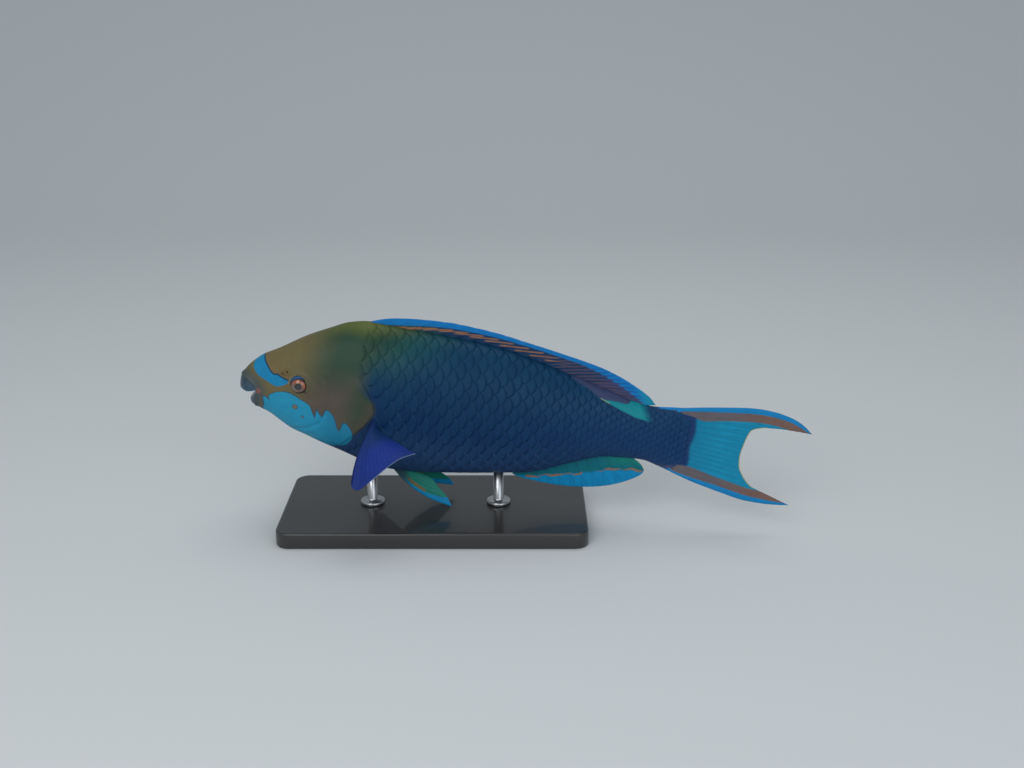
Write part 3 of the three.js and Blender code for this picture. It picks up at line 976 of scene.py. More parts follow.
def skin_traits(x: Array, z: Array) -> Traits:
    """Give the traits that the skin, its scales and the rims of eyes and nostrils share.

    Args:
        x, z: places in the side view.

    Returns:
        The markings' traits, and those of the marks that only lie on the head.
    """
    traits = MARKINGS.traits(x, z)
    head = traits["head"]
    traits["head_warm"] = np.minimum(head, traits["warm"])
    traits["head_fore"] = np.minimum(head, traits["fore"])
    traits["head_flap"] = np.minimum(head, traits["flap"])
    traits["head_nape"] = np.minimum(head + 0.4, traits["nape"])
    return traits


@dataclass
class Skin:
    """One skin over head, trunk and tail, folded in at the lips and under the edge of the gill cover.

    The grid runs from the back of the mouth over the lips and the head, round the edge of the gill cover, and
    along the trunk to the tail's end. Each step of the gill cover's fold is how far it lies behind the edge,
    and its share of the edge's lift.
    """

    columns: int = 256
    pocket_rows: int = 8
    head_rows: int = 150
    trunk_rows: int = 184
    end_rows: int = 8
    fold_height: float = 0.9
    fold_ray_gap: float = 4.6
    fold_ray_slope: float = 0.42
    fold_ray_height: float = 0.16
    fold_start: Pair = (350.0, 30.0)
    fold: tuple[Pair, ...] = ((0.45, 0.93), (0.7, 0.62), (0.35, 0.34), (-1.2, 0.22), (-2.4, 0.0))
    flat_step: float = 0.15
    apex: Triple = (24.0, 0.0, -7.0)
    pocket_bulge: float = 2.2
    end_length: float = 7.0
    end_power: float = 1.6
    gill_guess: float = 118.0
    gill_rounds: int = 60

    def rims(self, angle: Array) -> tuple[Array, Array]:
        """Find where the lips and the gill edge lie.

        Args:
            angle: the angles round the body at which they are wanted.

        Returns:
            The x of the lips and the x of the gill edge for each angle.
        """
        gill = np.full(len(angle), self.gill_guess)
        for _ in range(self.gill_rounds):
            gill = 0.5 * gill + 0.5 * GILL.edge(BODY.point(gill, angle)[:, 2])
        return MOUTH.front(angle), gill

    def fold_relief(self, x: Array, z: Array) -> Array:
        """Raise the folded rear of the back fin, with its rays, over the flank.

        Args:
            x, z: places in the side view.

        Returns:
            One height for each point.
        """
        down = z - self.fold_start[1] + self.fold_ray_slope * (x - self.fold_start[0])
        rays = np.cos(down * 2 * np.pi / self.fold_ray_gap)
        edge = smooth(MARKINGS.folded(x, z), -1.0, 1.6)
        return self.fold_height * edge * (1 + self.fold_ray_height * rays)

    def shape(self, column: Array, row: Array) -> tuple[Array, Traits]:
        """Bend the grid round the fish.

        Args:
            column: whole numbers, counted round the body from the belly.
            row: whole numbers, counted from the back of the mouth to the tail's end.

        Returns:
            The points in metres, and their traits.
        """
        angle_of = -np.pi / 2 + 2 * np.pi * np.arange(self.columns + 1) / self.columns
        lips_of, gill_of = self.rims(angle_of)
        j, i = np.rint(column).astype(int), np.rint(row).astype(int)
        angle, lips, gill = angle_of[j], lips_of[j], gill_of[j]
        window = GILL.window(BODY.point(gill, angle)[:, 2])
        ends = np.cumsum([self.pocket_rows, self.head_rows, len(self.fold), self.trunk_rows, self.end_rows])
        folds = np.array([(0.0, 1.0), *self.fold])
        in_head = np.clip((i - ends[0]) / self.head_rows, 0, 1)
        in_fold = np.clip(i - ends[1], 0, len(self.fold))
        in_trunk = np.clip((i - ends[2]) / self.trunk_rows, 0, 1)
        in_end = np.clip((i - ends[3]) / self.end_rows, 0, 1)
        start = gill + window * folds[in_fold, 0] + (1 - window) * self.flat_step * in_fold
        on_head = i <= ends[1]
        x = np.where(on_head, lips + (gill - lips) * in_head, start + (BODY.end - start) * in_trunk)
        points = BODY.point(x, angle)
        z = points[:, 2]
        lift = np.where(on_head, GILL.rise(x, z), GILL.lift * window * folds[in_fold, 1])
        behind = self.fold_relief(x, z) + TAIL_ROOT.swell(x)
        height = np.where(on_head, FACE.relief(x, z), behind) - SKIN_DEPTH
        points = points + BODY.normal(x, angle) * (height + lift)[:, None]
        # The first rows draw in to one point inside the mouth, and the last ones close the tail's end.
        pocket = np.clip(1 - i / ends[0], 0, 1)[:, None]
        points = points + (np.array(self.apex) - points) * pocket
        points[:, 0] += self.pocket_bulge * np.sin(np.pi * pocket[:, 0])
        points[:, 0] += self.end_length * in_end
        points[:, 1] *= 1 - in_end**self.end_power
        traits = skin_traits(x, z)
        # The skin drawn into the mouth is painted dark, as painted shade in the mouth's hollow.
        traits["inside"] = beyond(pocket[:, 0], 0.2, 0.25)
        return POSE.place(points), traits

    def build(self) -> Piece:
        """Make the skin and dress it.

        Returns:
            The new object.
        """
        rows = self.pocket_rows + self.head_rows + len(self.fold) + self.trunk_rows + self.end_rows
        skin = bent_grid("skin", self.columns, rows, self.shape)
        return dressed(skin, FINISHES["skin"], "body_skin", "head", "trunk", "tail")


class Flank:
    """Places on the side of the body by x and by the share of the way down from back to belly."""

    STATIONS = 87
    SHARES = 65
    ANGLES = 721
    # Keeps the last place within the last gap between two entries.
    SHORT_OF_END = 1.001

    def __init__(self) -> None:
        """Tabulate the angle for each share of the way down."""
        self.xs = np.linspace(0, BODY.end, self.STATIONS)
        self.shares = np.linspace(0, 1, self.SHARES)
        angles = np.linspace(np.pi / 2, -np.pi / 2, self.ANGLES)
        table, girths = [], []
        for x in self.xs:
            points = BODY.point(np.full(len(angles), x), angles)
            walked = np.concatenate([[0], np.cumsum(np.linalg.norm(np.diff(points, axis=0), axis=1))])
            table.append(np.interp(self.shares * walked[-1], walked, angles))
            girths.append(walked[-1])
        self.table, self.girths = np.array(table), np.array(girths)

    def girth(self, x: Array) -> Array:
        """Give the length from back to belly at x."""
        return np.interp(x, self.xs, self.girths)

    def angle(self, x: Array, share: Array) -> Array:
        """Give angles round the body.

        Args:
            x: where they are wanted along the fish.
            share: the shares of the way down from back to belly.

        Returns:
            One angle for each place.
        """
        at = np.clip(x / self.xs[-1] * (self.STATIONS - 1), 0, self.STATIONS - self.SHORT_OF_END)
        down = np.clip(share * (self.SHARES - 1), 0, self.SHARES - self.SHORT_OF_END)
        i, j = at.astype(int), down.astype(int)
        s, t = at - i, down - j
        top = self.table[i, j] * (1 - s) + self.table[i + 1, j] * s
        low = self.table[i, j + 1] * (1 - s) + self.table[i + 1, j + 1] * s
        return top * (1 - t) + low * t


@dataclass
class Scales:
    """The large overlapping scales of one side, as one joined mesh of closed plates.

    They lie in staggered rows from the back to the belly. Each is sunk at its root and rises over the skin to
    its rounded rear edge. Those of the nape fade into the head in front.
    """

    side: Side
    rows: int = 9
    pitch: float = 13.7
    stretch: float = 0.95
    tall: float = 0.56
    shorter: float = 0.38
    shorter_from: float = 250.0
    shorter_to: float = 420.0
    reach: float = 0.11
    reach_in_front: float = 0.3
    reach_from: float = 105.0
    reach_full: float = 150.0
    arch: float = 0.5
    sunk: float = 0.3
    head_sunk: float = 0.08
    head_fade: float = 0.35
    thickness: float = 0.25
    thicker_behind: float = 0.15
    roundness: float = 0.72
    taper: float = 0.12
    variety: float = 0.03
    tuck: float = 1.2
    gill_overlap: float = 0.2
    rim_from: float = 0.86
    rim_fade: float = 0.125
    cells: int = 7
    seed: int = 11
    first: float = 66.8
    last: float = 433.0
    nape: float = 27.0
    bare_keel: float = 398.0
    bare_share: float = 0.1
    fin_root: float = 424.0
    fin_share: float = 0.2
    fold_overlap: float = 2.0
    patch: float = 0.0018

    def places(self, flank: Flank) -> Array:
        """Lay out the scales.

        Args:
            flank: gives the girth, which sets how tall the scales are.

        Returns:
            One row for each scale: x, the share of the way down, half its length and half its height.
        """
        found = []
        for k in range(2 * self.rows - 1):
            share = (k + 1) / (2 * self.rows)
            x = self.first + (0 if k % 2 else self.pitch / 2)
            while x < self.last:
                rearward = float(smooth(np.array(x), self.shorter_from, self.shorter_to))
                pitch = self.pitch * (1 - self.shorter * rearward)
                height = float(flank.girth(x)) / self.rows * self.tall
                bare = self.fin_share if x > self.fin_root else self.bare_share if x > self.bare_keel else 0.0
                if bare < share < 1 - bare:
                    found.append((x, share, pitch * self.stretch, height))
                x += pitch
        return np.array(found)

    def plate(self) -> tuple[Array, bpy.types.Mesh]:
        """Make one plate with a rim and a closed underside, in a unit square.

        Returns:
            The plate's points, with its underside at -1, and its mesh.
        """
        bm = bmesh.new()
        bmesh.ops.create_grid(bm, x_segments=self.cells, y_segments=self.cells, size=1)
        rim = [edge for edge in bm.edges if edge.is_boundary]
        wall = bmesh.ops.extrude_edge_only(bm, edges=rim)["geom"]
        lowered = [part for part in wall if isinstance(part, bmesh.types.BMVert)]
        bmesh.ops.translate(bm, verts=lowered, vec=(0, 0, -1))
        bmesh.ops.holes_fill(bm, edges=[edge for edge in bm.edges if edge.is_boundary], sides=0)
        bmesh.ops.recalc_face_normals(bm, faces=bm.faces)
        bmesh.ops.triangulate(bm, faces=[face for face in bm.faces if len(face.verts) > 4])
        for face in bm.faces:
            face.smooth = face.normal.z > 0.5
        mesh = bpy.data.meshes.new("scale_plate")
        bm.to_mesh(mesh)
        bm.free()
        return coordinates(mesh), mesh

    def chosen(self, flank: Flank) -> tuple[Array, Array]:
        """Keep the plates of the trunk and the nape that the folded fin doesn't cover.

        Args:
            flank: places the plates.

        Returns:
            The rows of the plates kept, and for each one whether it lies on the nape.
        """
        lay = self.places(flank)
        x, half = lay[:, 0], lay[:, 2]
        z = BODY.point(x, flank.angle(x, lay[:, 1]))[:, 2]
        on_nape = z > self.nape
        behind_gill = x + self.gill_overlap * half > GILL.edge(z)
        kept = (on_nape | behind_gill) & (MARKINGS.folded(x, z) < self.fold_overlap)
        return lay[kept], on_nape[kept, None]

    def height(self, long: Array, wide: Array, middle: Array, size: Array) -> Array:
        """Give the height of plates over the skin, which rises from root to rear and arches across.

        Args:
            long: how far along its plate a point is, from -1 at the root to 1 at the rear.
            wide: how far across its plate it is, from -1 to 1.
            middle: the x of the plates' middles.
            size: the plates' sizes against the largest.

        Returns:
            One row for each plate, with one height for each of its points.
        """
        rearward = smooth(middle, self.reach_from, self.reach_full)
        reach = self.reach * (self.reach_in_front + (1 - self.reach_in_front) * rearward) * size
        sunk = self.sunk * size
        height = -sunk + (reach + sunk) * smooth(long, -0.55, 0.9) ** 0.8
        return height + self.arch * reach * (1 - wide**2) * smooth(long, -0.3, 0.6)

    def face_height(self, x: Array, z: Array, middle: Array) -> Array:
        """Give the height that plates of the nape take from the head in front of the gill cover's edge.

        Args:
            x, z: places in the side view.
            middle: the x of the plates' middles.

        Returns:
            One row for each plate, with one height for each of its points.
        """
        swell = (GILL.rise(x.ravel(), z.ravel()) + FACE.relief(x.ravel(), z.ravel())).reshape(x.shape)
        fading = np.minimum(2 - smooth(z, 25, 43) - smooth(middle, 78, 108), 1)
        return swell - self.head_sunk - self.head_fade * fading

    def build(self) -> Piece:
        """Make the joined plates and dress them.

        Returns:
            The new object.
        """
        flank = Flank()
        rng = np.random.default_rng(self.seed)
        unit, plate = self.plate()
        lay, on_nape = self.chosen(flank)
        middle, down, half_long, half_tall = (lay[:, k : k + 1] for k in range(4))
        half_long = half_long * rng.uniform(1 - self.variety, 1 + self.variety, middle.shape)
        half_tall = half_tall * rng.uniform(1 - self.variety, 1 + self.variety, middle.shape)
        tone = rng.uniform(-1, 1, middle.shape)
        long, wide = unit[:, 0][None, :], unit[:, 1][None, :]
        bow = np.sqrt(np.clip(1 - self.roundness * wide**2, 0, 1))
        x = middle + np.where(long > 0, long * bow, long) * half_long
        across = wide * half_tall * (1 - self.taper * smooth(-long, 0.2, 1.0))
        share = np.clip(down + across / flank.girth(x), 0.002, 0.998)
        angle = flank.angle(x, share)
        z = BODY.point(x.ravel(), angle.ravel())[:, 2].reshape(x.shape)
        ahead = GILL.edge(z) - x
        size = half_long / (self.pitch * self.stretch)
        height = self.height(long, wide, middle, size)
        under = unit[:, 2][None, :] < -0.5
        height = height - SKIN_DEPTH - np.where(under, self.thickness + self.thicker_behind * (long + 1), 0)
        # The plates under the low end of the gill cover are tucked in below it.
        height = height - self.tuck * smooth(ahead, 0, 1.5) * smooth(-z, 34, 44) + TAIL_ROOT.swell(x)
        height = height + np.where(on_nape & (ahead > 0), self.face_height(x, z, middle), 0)
        turned = angle if self.side is Side.RIGHT else np.pi - angle
        flat_x, flat_angle = x.ravel(), turned.ravel()
        points = BODY.point(flat_x, flat_angle)
        points = points + BODY.normal(flat_x, flat_angle) * height.ravel()[:, None]
        traits = skin_traits(flat_x, z.ravel())
        traits["rim"] = beyond(np.broadcast_to(long, x.shape).ravel(), self.rim_from, self.rim_fade)
        # No scale is lighter or darker than its neighbours on the head.
        traits["tone"] = np.minimum(np.broadcast_to(tone, x.shape).ravel(), -traits["head"] - 0.5)
        piece = self.joined(f"scales_{self.side.name.lower()}", plate, len(lay), POSE.place(points), traits)
        self.bake_map(piece, np.stack([lay[:, 0] / self.last, lay[:, 1]], axis=-1), unit)
        return dressed(piece, FINISHES["scales"], "body_skin")

    def joined(self, name: str, plate: bpy.types.Mesh, count: int, points: Array, traits: Traits) -> Piece:
        """Repeat the plate as an array and put each point in its place.

        Args:
            name: the piece's name.
            plate: the mesh of one plate, which is removed at the end.
            count: how often it is repeated.
            points: the places of all points, in metres.
            traits: the traits of all points.

        Returns:
            The new object.
        """
        size = len(plate.vertices)
        loops = column_of(plate.loops, "vertex_index", int)
        starts = column_of(plate.polygons, "loop_start", int)
        if self.side is Side.LEFT:
            # A mirrored plate's faces are turned round, so that they still point outwards.
            totals = column_of(plate.polygons, "loop_total", int)
            loops = np.concatenate([loops[s : s + n][::-1] for s, n in zip(starts, totals)])
        mesh = bpy.data.meshes.new(name)
        mesh.vertices.add(size * count)
        mesh.loops.add(len(loops) * count)
        mesh.polygons.add(len(starts) * count)
        mesh.vertices.foreach_set("co", points.astype(np.float32).ravel())
        turn = np.arange(count)[:, None]
        mesh.loops.foreach_set("vertex_index", (loops + turn * size).ravel())
        mesh.polygons.foreach_set("loop_start", (starts + turn * len(loops)).ravel())
        rounded = column_of(plate.polygons, "use_smooth", bool)
        mesh.polygons.foreach_set("use_smooth", np.tile(rounded, count))
        mesh.update(calc_edges=True)
        write_traits(mesh, traits)
        bpy.data.meshes.remove(plate)
        return linked(name, mesh)

    def bake_map(self, piece: Piece, spots: Array, unit: Array) -> None:
        """Give each plate a small patch at its own place on an unwrap of the body.

        Args:
            piece: the joined plates.
            spots: one row for each plate, its shares of the way along and down.
            unit: the points of one plate in its unit square.
        """
        mesh = piece.data
        vertex = column_of(mesh.loops, "vertex_index", int)
        own, local = vertex // len(unit), unit[vertex % len(unit)]
        edge, wide, tall = 0.03, 0.94, 0.45
        upper = 0.5 if self.side is Side.RIGHT else 0
        u = edge + wide * spots[own, 0] + self.patch * local[:, 0]
        v = edge + tall * spots[own, 1] + self.patch * local[:, 1] + upper
        layer = mesh.uv_layers.new(name="OFBake")
        layer.uv.foreach_set("vector", np.stack([u, v], axis=-1).astype(np.float32).ravel())


@dataclass
class Fin:
    """A thin fin: rays raised on a membrane, bent over a middle sheet from its root to its margin.

    In every method u is the share along the root, from the front or top, and t the share of the way out to
    the margin. Root and tip are half the membrane's thickness, and ridge is a ray's height at the root. The
    numbers in paint are places on the fin and the widths that marks fade over.
    """

    ROUND_FROM = 0.965
    LAST_ROWS = (0.982, 0.994, 1.0)
    ROUND_ENDS = 0.3
    FORKS = (0.25, 0.3, 1.1)
    TWIGS = (0.13, 0.6, 1.15)
    # Keeps the last point within the last ray.
    SHORT_OF_END = 1 - 1e-6

    name: str
    nodes: tuple[str, ...]
    slot: str
    rays: int
    spines: int
    root: float
    tip: float
    ridge: float
    rows: int = 22
    per_ray: int = 14
    notch: float = 0.03
    slim: float = 0.17
    seed: int = 3

    def middle(self, u: Array, t: Array) -> Array:
        """Give the middle sheet."""
        raise NotImplementedError

    def paint(self, u: Array, t: Array, points: Array) -> Traits:
        """Give the traits of the fin's own markings."""
        return {}

    def ray_relief(self, u: Array, t: Array) -> Array:
        """Raise spines as single ridges and soft rays as ridges that fork twice.

        Args:
            u, t: shares along the root and of the way out.

        Returns:
            One height for each point, 1 on the crest of a ray.
        """
        phase = np.clip(u, 0, self.SHORT_OF_END) * self.rays
        inside = phase - np.floor(phase) - 0.5
        soft = (np.floor(phase) >= self.spines).astype(float)
        first, second = (wide * smooth(t, low, high) * soft for wide, low, high in (self.FORKS, self.TWIGS))
        width = self.slim * (1 - 0.44 * t * soft)
        found = np.zeros_like(u)
        for fork in (-1, 1):
            for twig in (-1, 1):
                found = np.maximum(found, hump(inside - fork * first - twig * second, width))
        return found

    def edge_share(self, u: Array) -> Array:
        """Say how far out the membrane reaches, with notches between the rays' tips.

        Args:
            u: shares along the root.

        Returns:
            One share of the full reach for each point.
        """
        rng = np.random.default_rng(self.seed)
        ragged = rng.uniform(0.4, 1.0, 4 * self.rays + 2)
        phase = np.clip(u, 0, 1) * self.rays
        soft = np.floor(phase) >= self.spines
        beat = np.where(soft, 4 * phase, phase)
        valley = np.cos(np.pi * (beat - np.floor(beat) - 0.5)) ** 0.6
        ends = smooth(np.minimum(u, 1 - u), 0.0, 0.04)
        depth = np.where(soft, 0.4 * ragged[np.floor(4 * phase).astype(int)], 1.0)
        return 1 - self.notch * ends * (1 - valley) * depth

    def across(self, u: Array, t: Array) -> Array:
        """Give the directions square to the sheet.

        Args:
            u, t: shares along the root and of the way out.

        Returns:
            One row of length 1 for each point.
        """
        step = 0.01
        along = self.middle(np.minimum(u + step, 1), t) - self.middle(np.maximum(u - step, 0), t)
        out = self.middle(u, np.minimum(t + step, 1)) - self.middle(u, np.maximum(t - step, 0))
        square = np.cross(along, out)
        return square / np.maximum(np.linalg.norm(square, axis=-1, keepdims=True), TINY)

    def shape(self, column: Array, row: Array) -> tuple[Array, Traits]:
        """Bend the grid round the fin, over one face and back over the other.

        Args:
            column: whole numbers, counted along one face and back along the other.
            row: whole numbers, counted from the root out.

        Returns:
            The points in metres, and their traits.
        """
        count = self.rays * self.per_ray
        turn = np.rint(column).astype(int)
        u = np.where(turn <= count, turn, 2 * count - turn) / count
        face = np.where(turn <= count, 1.0, -1.0)
        even = np.linspace(0, self.ROUND_FROM, self.rows - len(self.LAST_ROWS))
        rows = np.concatenate([[0.0], even, self.LAST_ROWS])
        step = np.rint(row).astype(int)
        t = rows[step]
        # The two faces meet in a rounded edge at the margin and at the first and last rays.
        out = np.clip(beyond(t, self.ROUND_FROM, 1 - self.ROUND_FROM), 0, 1)
        aside = np.clip(1 - np.minimum(u, 1 - u) * self.rays / self.ROUND_ENDS, 0, 1)
        rounded = np.where(step == 0, 0.0, np.sqrt(1 - out**2) * np.sqrt(1 - aside**2))
        relief = self.ray_relief(u, t)
        half = self.root + (self.tip - self.root) * t + self.ridge * relief * (1 - 0.6 * t)
        reach = t * self.edge_share(u)
        points = self.middle(u, reach)
        traits = self.paint(u, reach, points)
        traits["ray"] = relief - 0.5
        points = points + self.across(u, reach) * (face * half * rounded)[:, None]
        return POSE.place(self.finished(points)), traits

    def finished(self, points: Array) -> Array:
        """Give the points as they are; the right one of a pair turns them over."""
        return points

    def build(self) -> Piece:
        """Make the fin and dress it."""
        piece = bent_grid(self.name, 2 * self.rays * self.per_ray, self.rows, self.shape)
        return dressed(piece, FINISHES[self.slot], self.slot, *self.nodes)


@dataclass
class DorsalFin(Fin):
    """The long back fin, with nine spines and ten soft rays, raked far back."""

    start: float = 117.5
    stop: float = 386.0
    sink: float = 3.0
    lean: float = 0.13
    margin: Profile = Profile(
        [(119, 75.2), (122, 76), (133, 79.2), (147, 81.6), (166, 82.9), (180, 83.3), (195, 83.2), (220, 81.2),
         (244, 78.2), (269, 73.6), (304, 67), (344, 58.6), (364, 52), (374, 47.6), (395, 36), (402, 29)]
    )
    sweep: Profile = Profile(
        [(0, 4), (0.04, 14), (0.12, 28), (0.5, 38), (0.7, 47), (0.85, 46), (1, 16)], blunt=False
    )
    band: Profile = Profile(
        [(120, 5.5), (140, 6.2), (152, 6.9), (177, 6), (210, 5.2), (244, 4.4), (290, 3.7), (322, 3.9),
         (338, 5.2), (364, 7.8), (402, 10)],
        blunt=False,
    )
    streaks: int = 14
    streak_first: float = 111.3
    streak_pitch: float = 14.9
    streak_long: float = 28.0
    streak_half: float = 0.64
    streak_end: float = 1.5
    streak_drop: Profile = Profile([(120, 3), (185, 3.7), (215, 4.8), (245, 6.4), (275, 7.6)], blunt=False)

    def middle(self, u: Array, t: Array) -> Array:
        """Give the middle sheet, which leans to the left towards its rear.

        Args:
            u, t: shares along the root and of the way out.

        Returns:
            One row of x, y and z for each point.
        """
        x0 = self.start + (self.stop - self.start) * u
        z0 = BODY.back(x0) - self.sink
        x1 = x0 + self.sweep(u)
        x = x0 + (x1 - x0) * t
        z = z0 + (self.margin(x1) - z0) * t
        return np.stack([x, -self.lean * u * np.maximum(z - BODY.back(x0), 0), z], axis=-1)

    def paint(self, u: Array, t: Array, points: Array) -> Traits:
        """Give the azure margin and the streaks under it.

        Args:
            u, t: shares along the root and of the way out.
            points: the points there.

        Returns:
            The traits by name.
        """
        x, z = points[:, 0], points[:, 2]
        along = np.linspace(120, 402, 90)
        below = distance_to(np.stack([along, self.margin(along)], axis=-1), x, z)
        under = below - self.band(x)
        start = self.streak_first + self.streak_pitch * np.arange(self.streaks)[:, None]
        share = (x - start) / self.streak_long
        off = under - self.streak_drop(start) * (1 - share) - self.streak_end * share
        streak = np.max(np.minimum(line_at(off, 0, self.streak_half), within(share, 0, 1) * 12), axis=0)
        # The comb is 0.5 on each ray and half way between two, and 0 between those.
        phase = 2 * u * self.rays
        comb = 0.5 - np.abs(phase - np.rint(phase))
        from_rear = 2 - 2 * smooth(x, 310, 350)
        return {
            "azure": -under - smooth(comb, 0.2, 0.5) * smooth(x, 315, 365) * 2,
            "rear_line": np.minimum(beyond(comb, 0.3, 0.125), line_at(under, -1, 5) / 3) - from_rear,
            "streak": streak - smooth(x, 285, 335) * 1.2,
            "rear_streak": np.minimum((comb - 0.22) * 7, (t - 0.1) * 10) - 2 * (1 - smooth(x, 270, 320)),
            "rear_purple": beyond(x, 350, 8) - beyond(z, 46, 5),
            "rear_end": beyond(x + 0.5 * (z - 38), 386, 6),
            "front": before(x, 178, 26),
        }


@dataclass
class AnalFin(Fin):
    """The fin under the tail root, green above and azure below a broken orange stripe."""

    start: float = 272.0
    stop: float = 384.0
    sink: float = 3.0
    margin: Margin = Margin(
        [(274, 0, -63.6), (281.6, 0, -65.8), (296, 0, -67.6), (321, 0, -68.6), (346, 0, -66.5), (366, 0, -62),
         (381, 0, -56), (393, 0, -49), (399.5, 0, -43.5), (401, 0, -39.5)]
    )
    stripes: tuple[tuple[Pair, ...], ...] = (
        ((288, -63.6), (300, -61.6), (315.5, -57.8), (326, -56), (341, -52.2)),
        ((355, -46.8), (366, -44.8), (377.7, -41.4), (388, -41), (399, -40)),
    )
    green_edge: tuple[Pair, ...] = (
        (280, -64), (288, -63.6), (315, -57.8), (341, -52.2), (366, -44.8), (399, -40),
    )

    def middle(self, u: Array, t: Array) -> Array:
        """Give the middle sheet, flat along the fish's middle.

        Args:
            u, t: shares along the root and of the way out.

        Returns:
            One row of x, y and z for each point.
        """
        x = self.start + (self.stop - self.start) * u
        base = np.stack([x, np.zeros_like(x), BODY.belly(x) + self.sink], axis=-1)
        points = base + (self.margin(u) - base) * t[:, None]
        points[:, 0] += 3.4 * np.sin(np.pi * t) * u**8
        return points

    def paint(self, u: Array, t: Array, points: Array) -> Traits:
        """Give the stripe, and the green above it.

        Args:
            u, t: shares along the root and of the way out; not used.
            points: the points there.

        Returns:
            The traits by name.
        """
        x, z = points[:, 0], points[:, 2]
        wave = 0.8 * np.sin(x / 3.3) + 0.4 * np.sin(x / 1.9 + 1)
        near = np.min([distance_to(stripe, x, z + wave) for stripe in self.stripes], axis=0)
        line = np.interp(x, *zip(*self.green_edge))
        return {
            "stripe": 0.85 + 0.35 * np.sin(x / 4.1) - near,
            "green": beyond(z, line, 2),
            "rear_tip": np.minimum(beyond(x, 366, 12), beyond(z, BODY.belly(x) - 7, 4)),
        }


@dataclass
class PairedFin(Fin):
    """One fin of a pair, drawn on the left side."""

    side: Side = Side.LEFT

    def finished(self, points: Array) -> Array:
        """Turn the right fin over."""
        return points * np.array([1, -self.side.value, 1])


@dataclass
class PelvicFin(PairedFin):
    """A belly fin, folded back, with an azure leading edge and an orange stripe."""

    bulge: float = 8.5
    feet: tuple[Triple, ...] = ((152.5, -8, -66), (162, -8, -67))
    margin: Margin = Margin(
        [(218, -28, -94.4), (212, -24.5, -86), (203, -19.5, -79.2), (196, -15, -73.5), (190, -12, -71.6)]
    )

    def middle(self, u: Array, t: Array) -> Array:
        """Give the middle sheet, which bows down along its leading edge.

        Args:
            u, t: shares along the root and of the way out.

        Returns:
            One row of x, y and z for each point.
        """
        front, back = (np.array(foot, float) for foot in self.feet)
        base = front + (back - front) * u[:, None]
        points = base + (self.margin(u) - base) * t[:, None]
        points[:, 2] -= self.bulge * (1 - u) ** 2 * np.sin(np.pi * t**0.9)
        return points

    def paint(self, u: Array, t: Array, points: Array) -> Traits:
        """Give the azure edge and the stripe behind it.

        Args:
            u, t: shares along the root, which is not used, and of the way out.
            points: the points there.

        Returns:
            The traits by name.
        """
        lead = self.middle(np.zeros(80), np.linspace(0, 1, 80))
        away = distance_to(lead[:, [0, 2]], points[:, 0], points[:, 2])
        return {
            "lead": before(away, 1.6 + 5.5 * t**1.5),
            "stripe": np.minimum(line_at(away, 4.4 + 2.0 * t, 1.1), within(t, 0.3, 0.6) * 22),
            "dusky": before(t, 0.28, 0.125),
        }


@dataclass
class PectoralFin(PairedFin):
    """A broad side fin, spread out and down, violet blue with a ragged pale trailing edge."""

    billow: float = 3.0
    sink: float = 3.0
    long: float = 60.0
    feet: tuple[Pair, ...] = ((134.8, -8.5), (136.5, -23))
    lead_bulge: Triple = (-4.5, -2, -4.5)
    margin: Margin = Margin(
        [(123.1, -96, -52.7), (125, -99, -56.8), (130.2, -100, -57.9), (138.7, -96, -51.8),
         (152.8, -86, -39.8), (163.9, -78, -32), (178.6, -70, -27.2)]
    )

    def middle(self, u: Array, t: Array) -> Array:
        """Give the middle sheet, which billows out from the body.

        Args:
            u, t: shares along the root and of the way out.

        Returns:
            One row of x, y and z for each point.
        """
        front, back = (np.array([x, self.sink - float(BODY.side(x, z)), z]) for x, z in self.feet)
        base = front + (back - front) * u[:, None]
        points = base + (self.margin(u) - base) * t[:, None]
        points = points + np.array(self.lead_bulge) * ((1 - u) ** 2 * np.sin(np.pi * t))[:, None]
        points[:, 1] -= self.billow * np.sin(np.pi * t) * np.sin(np.pi * u)
        return points

    def paint(self, u: Array, t: Array, points: Array) -> Traits:
        """Give the dull root, the bright middle and the pale edge.

        Args:
            u, t: shares along the root and of the way out.
            points: the points there; not used.

        Returns:
            The traits by name.
        """
        edge = (1 - t) * self.long
        return {
            "root": before(t + 0.12 * (1 - u), 0.42, 0.2),
            "bright": 1 - np.hypot(beyond(u, 0.62, 0.42), beyond(t, 0.66, 0.3)),
            "pale": np.minimum(before(edge, 0.9), (u - 0.3) * 6),
            "lead": (0.03 - u) * self.long,
        }


